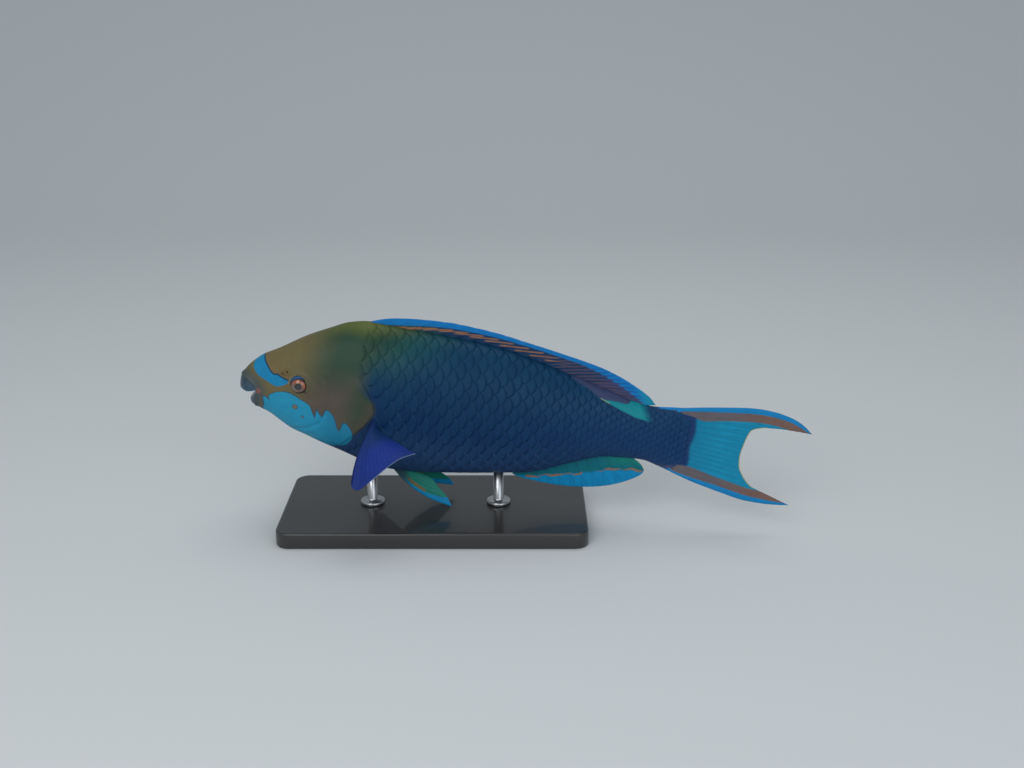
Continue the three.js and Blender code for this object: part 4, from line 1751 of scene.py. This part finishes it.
@dataclass
class CaudalFin(Fin):
    """The tail fin, with long pointed lobes edged in blue over a brown band."""

    bulge_upper: Profile = Profile(
        [(0, 0), (0.13, 3.8), (0.28, 7.7), (0.43, 11.4), (0.52, 13.3), (0.63, 14.3), (0.7, 14.1), (0.82, 12),
         (0.9, 8.6), (0.95, 5), (1, 0)],
        blunt=False,
    )
    bulge_lower: Profile = Profile(
        [(0, 0), (0.16, 3.6), (0.25, 4.9), (0.43, 6.9), (0.6, 8.3), (0.77, 6.4), (0.93, 2.5), (1, 0)],
        blunt=False,
    )
    bulge_reach: float = 0.25
    buried: float = 0.06
    far_x: Profile = Profile(
        [(0, 550), (0.06, 530), (0.13, 508), (0.21, 495), (0.32, 491), (0.46, 489), (0.6, 490), (0.72, 495),
         (0.82, 505), (0.91, 522), (1, 542)],
        blunt=False,
    )
    far_z: Profile = Profile(
        [(0, 26.6), (0.06, 26.4), (0.13, 24.4), (0.21, 19), (0.32, 6), (0.46, -8), (0.6, -18), (0.72, -27.5),
         (0.82, -37), (0.91, -42.6), (1, -48.7)],
        blunt=False,
    )
    blue_upper: Profile = Profile(
        [(430, 2.9), (440, 3.6), (462, 4.5), (490, 5.4), (515, 5), (538, 3.6), (550, 0.8)], blunt=False
    )
    blue_lower: Profile = Profile(
        [(426, 2.2), (446, 4.2), (470, 5.8), (490, 6), (510, 5.2), (530, 3.2), (545, 1.2)], blunt=False
    )
    brown_upper: Profile = Profile(
        [(426, 2), (437, 4.6), (451, 9.5), (470, 8.6), (515, 7.8), (552, 7)], blunt=False
    )
    brown_lower: Profile = Profile(
        [(424, 5), (436, 8.6), (446, 9.8), (470, 7.8), (500, 7.4), (552, 7)], blunt=False
    )
    overlap: float = 2.0
    narrowing: float = 0.09
    edge_points: int = 90

    def middle(self, u: Array, t: Array) -> Array:
        """Give the middle sheet, from the upper edge at 0 to the lower edge at 1.

        Args:
            u, t: shares along the root and of the way out.

        Returns:
            One row of x, y and z for each point.
        """
        top, low = float(BODY.back(BODY.end)), float(BODY.belly(BODY.end))
        x0, z0 = BODY.end - self.overlap, top + (low - top) * u
        t = t * (1 + self.buried) - self.buried
        z0 = z0 * (1 - self.narrowing * smooth(-t, 0, self.buried))
        x = x0 + (self.far_x(u) - x0) * t
        z = z0 + (self.far_z(u) - z0) * t
        z = z + self.bulge_upper(t) * np.maximum(1 - u / self.bulge_reach, 0) ** 2
        z = z - self.bulge_lower(t) * np.maximum(1 - (1 - u) / self.bulge_reach, 0) ** 2
        return np.stack([x, np.zeros_like(x), z], axis=-1)

    def paint(self, u: Array, t: Array, points: Array) -> Traits:
        """Give the blue edges, the brown bands, the dark base and the pale rear line.

        Args:
            u, t: shares along the root, and of the way out, which is not used.
            points: the points there.

        Returns:
            The traits by name.
        """
        x, z = points[:, 0], points[:, 2]
        walk = np.linspace(0, 1, self.edge_points)
        ends = (self.middle(np.full(self.edge_points, end), walk)[:, [0, 2]] for end in (0.0, 1.0))
        upper, lower = (distance_to(end, x, z) for end in ends)
        rear = distance_to(self.middle(walk, np.ones(self.edge_points))[:, [0, 2]], x, z)
        above, below = self.blue_upper(x) - upper, self.blue_lower(x) - lower
        brown = np.maximum(above + self.brown_upper(x), below + self.brown_lower(x))
        return {
            "blue": np.maximum(above, below),
            "brown": np.minimum(brown, beyond(x, 424, 6)),
            "rust": np.minimum(brown, beyond(x, 488, 24)),
            "dark": before(x - np.sin(z / 5) - 0.06 * z, 442, 2),
            "smoke": before(x, 456, 14),
            "pale": np.minimum(before(rear, 0.8), within(u, 0.12, 0.84) * 60),
        }


# A ray shows as a slightly darker line, because its bone is thicker than the membrane beside it.
RAY = Layer("ray", "#0f2c45", 0.5, 0.16)

# A real fin is a thin, wet membrane over bony rays. In the model it is thin cast resin, so it is opaque, and
# its paint gives the eye the glow that light through the membrane would.
FIN_PAINTS = {
    "dorsal_fin": Painted(
        "painted_dorsal_membrane",
        "#0e365c",
        (
            Layer("front", "#2c4f3c", 1.0, 0.8),
            Layer("ray", "#0d2742", 0.5, 0.3),
            Layer("rear_purple", "#3d3f66", 1.0, 0.8),
            Layer("rear_streak", "#5a4a5a", 0.7, 0.65),
            Layer("streak", "#9c6c4e", 0.5, 0.9),
            Layer("azure", "#0674ba", 0.8),
            Layer("rear_line", "#0a4d86", 0.8, 0.5),
            Layer("rear_end", "#0e8aa5", 1.0, 0.9),
        ),
    ),
    "anal_fin": Painted(
        "painted_anal_membrane",
        "#0586ba",
        (
            Layer("green", "#046a78", 1.0),
            Layer("rear_tip", "#128270", 1.0, 0.6),
            RAY,
            Layer("stripe", "#8f6c50", 0.4, 0.95),
        ),
    ),
    "tail_fin": Painted(
        "painted_tail_membrane",
        "#0c8cb2",
        (
            RAY,
            Layer("smoke", "#0a7496", 1.0, 0.6),
            Layer("dark", "#143868", 1.0),
            Layer("brown", "#665f64", 0.7),
            Layer("rust", "#7a5c52", 1.0, 0.9),
            Layer("blue", "#0c7fba", 0.5),
            Layer("pale", "#b9ad5c", 0.4, 0.9),
        ),
    ),
    "pelvic_fin": Painted(
        "painted_pelvic_membrane",
        "#1b8070",
        (
            RAY,
            Layer("stripe", "#8c6440", 0.6, 0.95),
            Layer("lead", "#0c82b4", 0.6),
            Layer("dusky", "#2a4450", 1.0),
        ),
    ),
    "pectoral_fin": Painted(
        "painted_pectoral_membrane",
        "#16307a",
        (
            Layer("bright", "#1a348e", 0.5, 0.9),
            Layer("root", "#15386a", 1.0, 0.9),
            RAY,
            Layer("pale", "#7f93ad", 0.4, 0.7),
            Layer("lead", "#14204f", 1.0, 0.8),
        ),
    ),
}

FINISHES: dict[str, Material] = {name: paint.material() for name, paint in FIN_PAINTS.items()}
BODY_BLUE = "#042b55"
SKIN_MOTTLE = "#0b1f3a"
# A real fish's skin is wet and slimy, which gives the eye a soft sheen over deep colour. Here it is painted,
# with painted shade inside the mouth.
FINISHES["skin"] = Painted(
    "painted_skin", BODY_BLUE, (*SKIN_LAYERS, Layer("inside", "#2a1d20", 0.8)), mottle=SKIN_MOTTLE
).material()
# A real scale is a clear bony plate over coloured skin, so only its rim and a slight shift of tone show.
FINISHES["scales"] = Painted(
    "painted_scales",
    BODY_BLUE,
    (*SKIN_LAYERS, Layer("tone", "#1c5673", 1.0, 0.1), Layer("rim", "#0a2236", 1.0, 0.05)),
    mottle=SKIN_MOTTLE,
    specular=0.14,
).material()


@dataclass
class Eye:
    """A glass eye: a flattened ball with a dark pupil in a copper iris, both a little off its middle."""

    side: Side
    segments: int = 96
    rings: int = 64
    pupil: float = 3.7
    pupil_tall: float = 1.12
    pupil_behind: float = 0.04
    ring: float = 4.0
    ring_half: float = 0.3
    # A painted reflection: a lighter spot in the pupil, by its right, up and radius.
    pupil_reflection: Triple = (1.0, 0.0, 2.2)
    iris: float = 6.8
    copper_from: float = 0.5
    copper_slant: float = 0.4
    copper_fade: float = 3.0

    def build(self) -> Piece:
        """Make the ball and dress it.

        Returns:
            The new object.
        """
        side = self.side.name.lower()
        bm = bmesh.new()
        bmesh.ops.create_uvsphere(bm, u_segments=self.segments, v_segments=self.rings, radius=1)
        bmesh.ops.rotate(bm, verts=bm.verts, matrix=Matrix.Rotation(math.pi / 2, 3, "X"))
        eye = made(f"eyeball_{side}", bm)
        unit = coordinates(eye.data)
        points = EYE.centre(self.side) + unit * np.array([EYE.radius, EYE.radius * EYE.flatness, EYE.radius])
        right = (unit[:, 0] + self.pupil_behind) * EYE.radius
        up = unit[:, 2] * EYE.radius * self.pupil_tall
        away = np.hypot(right, up)
        eye.data.vertices.foreach_set("co", POSE.place(points).astype(np.float32).ravel())
        traits = {
            "pupil": before(away, self.pupil),
            "ring": line_at(away, self.ring, self.ring_half),
            "pupil_reflection": round_spot(self.pupil_reflection, right, up),
            "outer": beyond(away, self.iris),
            "copper": beyond(up + self.copper_slant * right, self.copper_from, self.copper_fade),
        }
        write_traits(eye.data, traits)
        return dressed(eye, FINISHES["eye"], "eye", f"eye_{side}")


# Blown glass, painted behind and polished in front: a clear, sharp gloss over a copper iris. Its flecks are
# drawn 1.2 mm across, about three times as coarse as the real ones.
FINISHES["eye"] = Painted(
    "glass_eye",
    "#76605c",
    (
        Layer("copper", "#ab5b3e", 1.0),
        Layer("outer", "#33302b", 0.6),
        Layer("ring", "#6c6f48", 0.35, 0.8),
        Layer("pupil", "#122a2c", 0.3),
        # The pupil's lighter middle is a painted reflection.
        Layer("pupil_reflection", "#2b3240", 1.5, 0.6),
    ),
    mottle="#5a3120",
    mottle_strength=0.5,
    mottle_size=1.2,
    grain_depth=0.0,
    roughness=0.2,
    coat=1.0,
    coat_roughness=0.03,
).material()


@dataclass
class Collar:
    """A raised ring of skin round an eye or a nostril, a closed band bent onto the side of the head."""

    name: str
    x: float
    z: float
    side: Side
    outline: tuple[Pair, ...]
    turns: int = 96

    def shape(self, column: Array, row: Array) -> tuple[Array, Traits]:
        """Bend the grid round the ring.

        Args:
            column: whole numbers, counted round the ring.
            row: whole numbers, counted round its outline.

        Returns:
            The points in metres, and their traits.
        """
        turn = column / self.turns * 2 * np.pi
        ring = np.rint(row).astype(int)
        profile = np.array([*self.outline, self.outline[0]])
        x = self.x + profile[ring, 0] * np.cos(turn)
        z = self.z + profile[ring, 0] * np.sin(turn)
        y = self.side.value * (BODY.side(x, z) + profile[ring, 1])
        traits = skin_traits(x, z)
        traits["inner"] = before(profile[ring, 0], profile[:, 0].min() + 0.35)
        return POSE.place(np.stack([x, y, z], axis=-1)), traits

    def build(self) -> Piece:
        """Make the ring and dress it."""
        ring = bent_grid(self.name, self.turns, len(self.outline), self.shape)
        return dressed(ring, FINISHES["collar"], "head_skin")


# The bare skin of a lid or a nostril's rim, painted like the head round it, with a shadow along its inside.
FINISHES["collar"] = Painted(
    "painted_eyelid",
    BODY_BLUE,
    (*SKIN_LAYERS, Layer("inner", "#1a1f1c", 0.4, 0.8)),
    mottle="#2b2f25",
).material()
# Outlines of the rings: how far each point is from the middle, and how high it stands.
EYE_RIM = (
    (7.0, -2.4), (7.05, 0.2), (7.5, 0.75), (8.2, 1.1), (9.0, 1.0), (10.0, 0.45), (11.2, -0.25), (12.4, -1.2),
)
NOSTRIL_RIM = ((0.0, -1.6), (0.6, -1.3), (0.9, 0.0), (1.3, 0.4), (1.9, 0.1), (2.6, -0.7))


@dataclass
class Beak:
    """One plate of fused teeth, rounded in front and cut to the gape, thick as a wall behind its edge.

    The grid runs from the plate's root over its outside to the biting edge, and back up its inside.
    """

    name: str
    node: str
    root: float
    bite: float
    upper: bool
    tuck: float = 0.8
    rows: int = 26
    columns: int = 64
    outer_rows: float = 0.6
    wall: float = 0.28
    wall_rise: float = 0.92
    gullet: float = 18.0
    lip_gap: float = 0.1
    least_depth: float = 0.2
    least_width: float = 0.3
    tooth_height: float = 0.22
    tooth_pace: float = 1.9

    def nose(self, level: Array) -> Array:
        """Give the place of the foremost teeth.

        Args:
            level: the heights at which it is wanted.

        Returns:
            One x for each height.
        """
        if not self.upper:
            xs, zs = zip(*MOUTH.lower_edge)
            return np.interp(level, zs, xs)
        xs = np.linspace(0, 20, 200)
        return np.maximum(np.interp(level, BODY.back(xs), xs), np.interp(-level, -BODY.belly(xs), xs))

    def shape(self, column: Array, row: Array) -> tuple[Array, Traits]:
        """Bend the grid over the outside of the beak and back up its inside.

        Args:
            column: whole numbers, counted round the front from one corner of the mouth to the other.
            row: whole numbers, counted from the root over the edge to the inside.

        Returns:
            The points in metres, and their traits.
        """
        turn = column / self.columns * 2 - 1
        outer = self.rows * self.outer_rows
        down = np.clip(row / outer, 0, 1)
        inside = np.clip((row - outer) / (self.rows - outer), 0, 1)
        level = self.root + (self.bite - self.root) * down
        rear = MOUTH.lip(level) - self.lip_gap
        nose = np.minimum(self.nose(level), rear - self.least_depth)
        if not self.upper:
            nose = rear - (rear - nose) * (1 - self.tuck * (1 - smooth(down, -0.1, 0.3)))
        x = nose + (rear - nose) * turn**2
        if self.upper:
            y = np.sign(turn) * np.maximum(BODY.side(x, level) - MOUTH.inset, 0.0)
            z = level + (np.interp(x, *zip(*MOUTH.upper_edge)) - self.bite) * down**3
        else:
            y = np.maximum(BODY.side(rear, level) - MOUTH.inset, self.least_width) * np.sin(turn * np.pi / 2)
            z = level
        # Small teeth show as a scalloped biting edge.
        edge = smooth(down, 0.82, 1.0) * (1 - inside)
        teeth = self.tooth_height * edge * np.abs(np.sin(y * self.tooth_pace))
        z = z + teeth * (1 if self.upper else -1)
        shrink = 1 - self.wall * inside
        x = self.gullet + (x - self.gullet) * shrink
        z = z + (self.root - z) * inside * self.wall_rise
        # The numbers are places on the plate and the widths that marks fade over.
        traits = {
            "cut": beyond(down, 0.87),
            "seam": line_at(y, 0, 0.22),
            "root": before(down, 0.25, 0.25),
            "streak": np.sin(y * 1.7 + x * 0.6) + 0.6 * np.sin(y * 3.7 + x),
            "rim": before(x, nose + 1.3, 1.2),
        }
        return POSE.place(np.stack([x, y * shrink, z], axis=-1)), traits

    def build(self) -> Piece:
        """Make the plate and dress it."""
        piece = bent_grid(self.name, self.columns, self.rows, self.shape)
        return dressed(piece, FINISHES["beak"], "beak", self.node)


# Enamel of teeth grown together: hard and polished by use, blue-grey, with a seam in the middle and the rows
# of small teeth as streaks. The pits are drawn 0.7 mm across, a few times as coarse as the real ones.
FINISHES["beak"] = Painted(
    "fused_teeth",
    "#32485a",
    (
        Layer("streak", "#5a7286", 1.2, 0.45),
        Layer("root", "#3f4b4e", 1.0, 0.8),
        Layer("rim", "#5c5148", 1.0, 0.6),
        Layer("cut", "#2a6a8e", 0.08, 0.6),
        Layer("seam", "#1a2730", 0.3, 0.6),
    ),
    mottle="#1f3542",
    mottle_strength=0.45,
    mottle_size=2.2,
    grain=0.7,
    grain_depth=0.2,
    roughness=0.3,
    coat=0.5,
).material()


@dataclass(frozen=True)
class Stretched:
    """A material with a pattern drawn out along one way, by how often it repeats in a metre each way."""

    stretch: Triple
    pace: float
    detail: float
    bump_strength: float
    bump_depth: float

    def pattern(self, tree: Tree) -> tuple[Socket, Socket]:
        """Add the pattern to a tree.

        Args:
            tree: the tree.

        Returns:
            The pattern and the bumps that it makes.
        """
        place = add(tree, "ShaderNodeTexCoord").outputs["Object"]
        drawn = add(tree, "ShaderNodeMapping", {"Vector": place, "Scale": self.stretch}).outputs[0]
        cloud = {"Vector": drawn, "Scale": self.pace, "Detail": self.detail}
        noise = add(tree, "ShaderNodeTexNoise", cloud).outputs[0]
        relief = {"Height": noise, "Strength": self.bump_strength, "Distance": self.bump_depth}
        return noise, add(tree, "ShaderNodeBump", relief).outputs[0]


@dataclass(frozen=True)
class Lacquer(Stretched):
    """Satin black lacquer sprayed on a wooden base.

    It gives the eye a near black, softly mirrored face, through which the wood's grain just shows. The grain
    runs along the board: its streaks are about 1.2 mm wide, as on beech, and ten times as long.
    """

    name: str = "satin_black_lacquer"
    colour: str = "#232325"
    streak: str = "#34302d"
    stretch: Triple = (6.0, 60.0, 60.0)
    pace: float = 14.0
    detail: float = 6.0
    bump_strength: float = 0.25
    bump_depth: float = 0.0002

    def material(self) -> Material:
        """Build the node material.

        Returns:
            The material.
        """
        material = new_material(self.name)
        tree = material.node_tree
        noise, bump = self.pattern(tree)
        stops = ((0, self.colour), (1, self.streak))
        colour = add(tree, "ShaderNodeValToRGB", {"Fac": noise}, stops=stops).outputs[0]
        finish_off(tree, {"Base Color": colour, "Normal": bump, "Roughness": 0.38, "Coat Weight": 0.4})
        return material


@dataclass(frozen=True)
class Steel(Stretched):
    """Brushed stainless steel, turned on a lathe.

    It gives the eye a bright metal with highlights drawn out along the rod, because its scratches run round
    it. They are drawn 0.4 mm apart, about ten times as coarse as the real ones.
    """

    name: str = "brushed_steel"
    colour: str = "#b4b6b8"
    stretch: Triple = (30.0, 30.0, 2500.0)
    pace: float = 1.0
    detail: float = 4.0
    bump_strength: float = 0.2
    bump_depth: float = 0.00005
    smoothest: float = 0.22
    roughest: float = 0.42

    def material(self) -> Material:
        """Build the node material.

        Returns:
            The material.
        """
        material = new_material(self.name)
        tree = material.node_tree
        noise, bump = self.pattern(tree)
        reach = {"Value": noise, "To Min": self.smoothest, "To Max": self.roughest}
        rough = add(tree, "ShaderNodeMapRange", reach).outputs[0]
        colour = linear(self.colour)
        finish_off(tree, {"Base Color": colour, "Metallic": 1.0, "Roughness": rough, "Normal": bump})
        return material


@dataclass
class Stand:
    """The plain display stand: a bevelled base and two turned rods up to the belly, in metres."""

    corner: float = 0.014
    corner_segments: int = 12
    chamfer: float = 0.002
    chamfer_segments: int = 4
    rod_radius: float = 0.005
    flange_radius: float = 0.012
    flange_height: float = 0.004
    rod_sink: float = 0.0012
    turns: int = 64

    def base(self) -> Piece:
        """Make the base with rounded corners and edges.

        Returns:
            The new object.
        """
        low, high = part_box("stand_base")
        size, middle = high - low, (high + low) / 2
        bm = bmesh.new()
        bmesh.ops.create_cube(bm, size=1)
        bmesh.ops.scale(bm, verts=bm.verts, vec=size)
        upright = [e for e in bm.edges if abs(e.verts[0].co.z - e.verts[1].co.z) > size.z / 2]
        rounding = {"affect": "EDGES", "profile": 0.5, "material": -1}
        bmesh.ops.bevel(bm, geom=upright, offset=self.corner, segments=self.corner_segments, **rounding)
        flat = [e for e in bm.edges if len({abs(f.normal.z) > 0.5 for f in e.link_faces}) > 1]
        bmesh.ops.bevel(bm, geom=flat, offset=self.chamfer, segments=self.chamfer_segments, **rounding)
        bmesh.ops.translate(bm, verts=bm.verts, vec=middle)
        return dressed(made("base_board", bm, flat=0.999), Lacquer().material(), "stand_base", "stand_base")

    def outline(self, height: float) -> list[Pair]:
        """Draw half the outline of a rod, with broken edges on its flange and a small fillet above it.

        Args:
            height: how high the rod's own box is; the rod itself reaches a little into the belly.

        Returns:
            The outline's corners by radius and height.
        """
        rod, flange, top = self.rod_radius, self.flange_radius, self.flange_height
        end = height + self.rod_sink
        return [
            (0, 0), (flange - 0.0004, 0), (flange, 0.0004), (flange, top - 0.0012),
            (flange - 0.0004, top - 0.0004), (flange - 0.0012, top), (rod + 0.0018, top),
            (rod + 0.0006, top + 0.0005), (rod, top + 0.0018), (rod, end), (0, end),
        ]

    def rod(self, node: str, steel: Material) -> Piece:
        """Turn one rod with its flange.

        Args:
            node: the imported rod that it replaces.
            steel: its material.

        Returns:
            The new object.
        """
        low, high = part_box(node)
        middle = (low + high) / 2
        bm = bmesh.new()
        verts = [bm.verts.new((x, 0, z)) for x, z in self.outline(high.z - low.z)]
        edges = [bm.edges.new(pair) for pair in zip(verts[:-1], verts[1:])]
        turn = {"axis": (0, 0, 1), "cent": (0, 0, 0), "angle": 2 * math.pi, "steps": self.turns}
        bmesh.ops.spin(bm, geom=[*verts, *edges], **turn, use_merge=True)
        bmesh.ops.remove_doubles(bm, verts=bm.verts, dist=WELD)
        bmesh.ops.recalc_face_normals(bm, faces=bm.faces)
        bmesh.ops.translate(bm, verts=bm.verts, vec=(middle.x, middle.y, low.z))
        return dressed(made(node + "_turned", bm), steel, "stand_rod", node)

    def build(self) -> list[Piece]:
        """Make the base and both rods."""
        steel = Steel().material()
        return [self.base(), *(self.rod(node, steel) for node in ("stand_rod_front", "stand_rod_rear"))]


@dataclass
class Studio:
    """A pale floor, soft lights and the camera at the photograph's angle, in metres.

    The camera aims at the middle of the picture, which is told from where the tip of the snout shows. The
    snout's offset from there is in millimetres.
    """

    lens: float = 45.0
    sensor: float = 36.0
    elevation: float = math.radians(18)
    distance: float = 1.24534
    snout: Pair = (-263.46, 3.07)
    floor_half: float = 4.0
    floor_bend: float = 1.5
    floor_curve: float = 0.35
    lit_height: float = 0.13
    room_light: float = 0.5

    def camera(self) -> None:
        """Set the camera by where the tip of the snout shows in the frame."""
        tip = POSE.turned(np.zeros((1, 3)))[0]
        aim = Vector(((tip[0] - self.snout[0]) * MM, 0, (tip[2] - self.snout[1]) * MM))
        back = Vector((0, -math.cos(self.elevation), math.sin(self.elevation)))
        data = bpy.data.cameras.new("camera")
        data.lens = self.lens
        data.sensor_width = self.sensor
        camera = linked("camera", data)
        camera.location = aim + back * self.distance
        camera.rotation_euler = (math.pi / 2 - self.elevation, 0, 0)
        bpy.context.scene.camera = camera

    def floor(self) -> None:
        """Lay a plain floor of matt paper that curves up far behind."""
        bm = bmesh.new()
        bmesh.ops.create_grid(bm, x_segments=8, y_segments=60, size=self.floor_half)
        for vert in bm.verts:
            past = max(vert.co.y - self.floor_bend, 0)
            vert.co.z = self.floor_curve * past**2
        floor = made("floor", bm)
        paper = new_material("matt_paper")
        finish_off(paper.node_tree, {"Base Color": linear("#d9dcdd"), "Roughness": 0.9})
        floor.data.materials.append(paper)

    def light(self, name: str, place: Sequence[float], size: float, power: float, colour: str) -> None:
        """Add one soft light that faces the fish.

        Args:
            name: its name.
            place: where it hangs.
            size: how wide its disc is.
            power: its power in watts.
            colour: its colour as sRGB hex.
        """
        data = bpy.data.lights.new(name, "AREA")
        data.shape = "DISK"
        data.size = size
        data.energy = power
        data.color = linear(colour)[:3]
        lamp = linked(name, data)
        lamp.location = place
        aim = Vector((0, 0, self.lit_height)) - lamp.location
        lamp.rotation_euler = aim.to_track_quat("-Z", "Y").to_euler()

    def build(self) -> None:
        """Make the studio."""
        scene = bpy.context.scene
        scene.view_settings.view_transform = "Standard"
        world = bpy.data.worlds.new("soft_room")
        world.use_nodes = True
        sky = world.node_tree.nodes["Background"]
        sky.inputs["Color"].default_value = linear("#dfe8ee")
        sky.inputs["Strength"].default_value = self.room_light
        scene.world = world
        self.camera()
        self.floor()
        self.light("key_light", (-0.7, -1.5, 1.2), 1.2, 11, "#ffffff")
        self.light("fill_light", (0.8, -1.6, 0.5), 1.4, 7, "#f2f8ff")
        self.light("top_light", (0.1, 0.4, 1.7), 1.2, 5, "#ffffff")


def fins() -> list[Fin]:
    """List every fin, with its number of rays and spines, its thickness and the height of its rays.

    Returns:
        The fins, not built yet.
    """
    listed: list[Fin] = [
        DorsalFin(
            "dorsal_sail", ("dorsal_fin",), "dorsal_fin", rays=19, spines=9, root=0.95, tip=0.34, ridge=0.4,
            rows=20, notch=0.02,
        ),
        AnalFin(
            "anal_sail", ("anal_fin",), "anal_fin", rays=12, spines=3, root=0.95, tip=0.34, ridge=0.22,
            rows=20, slim=0.1,
        ),
        CaudalFin(
            "tail_fan", ("caudal_lobe_upper", "caudal_fin_middle", "caudal_lobe_lower"), "tail_fin", rays=15,
            spines=0, root=1.9, tip=0.36, ridge=0.3, rows=46, notch=0.012,
        ),
    ]
    for side in Side:
        name = side.name.lower()
        pelvic = PelvicFin(
            f"pelvic_sail_{name}", (f"pelvic_fin_{name}",), "pelvic_fin", rays=6, spines=1, root=1.1,
            tip=0.35, ridge=0.35, rows=30, side=side,
        )
        pectoral = PectoralFin(
            f"pectoral_fan_{name}", (f"pectoral_fin_{name}",), "pectoral_fin", rays=13, spines=1, root=1.4,
            tip=0.32, ridge=0.35, rows=34, notch=0.05, side=side,
        )
        listed += [pelvic, pectoral]
    return listed


def main() -> None:
    """Build the fish, its stand and the studio."""
    logging.basicConfig(level=logging.INFO, format="%(message)s")
    pieces: list[Piece] = [Skin().build()]
    pieces += [Scales(side).build() for side in Side]
    pieces += [fin.build() for fin in fins()]
    for side in Side:
        name = side.name.lower()
        pieces.append(Eye(side).build())
        pieces.append(Collar(f"eye_rim_{name}", EYE.x, EYE.z, side, EYE_RIM).build())
        for number, (x, z, radius) in enumerate(FACE.nostrils, 1):
            outline = tuple((away * radius, height) for away, height in NOSTRIL_RIM)
            pieces.append(Collar(f"nostril_{number}_{name}", x, z, side, outline).build())
    pieces.append(Beak("upper_teeth", "beak_upper", root=9.3, bite=-5.6, upper=True).build())
    pieces.append(Beak("lower_teeth", "beak_lower", root=-21.6, bite=-4.6, upper=False).build())
    pieces += Stand().build()
    Studio().build()
    for piece in pieces:
        log.info("%s: %d faces", piece.name, len(piece.data.polygons))


if __name__ == "__main__":
    main()
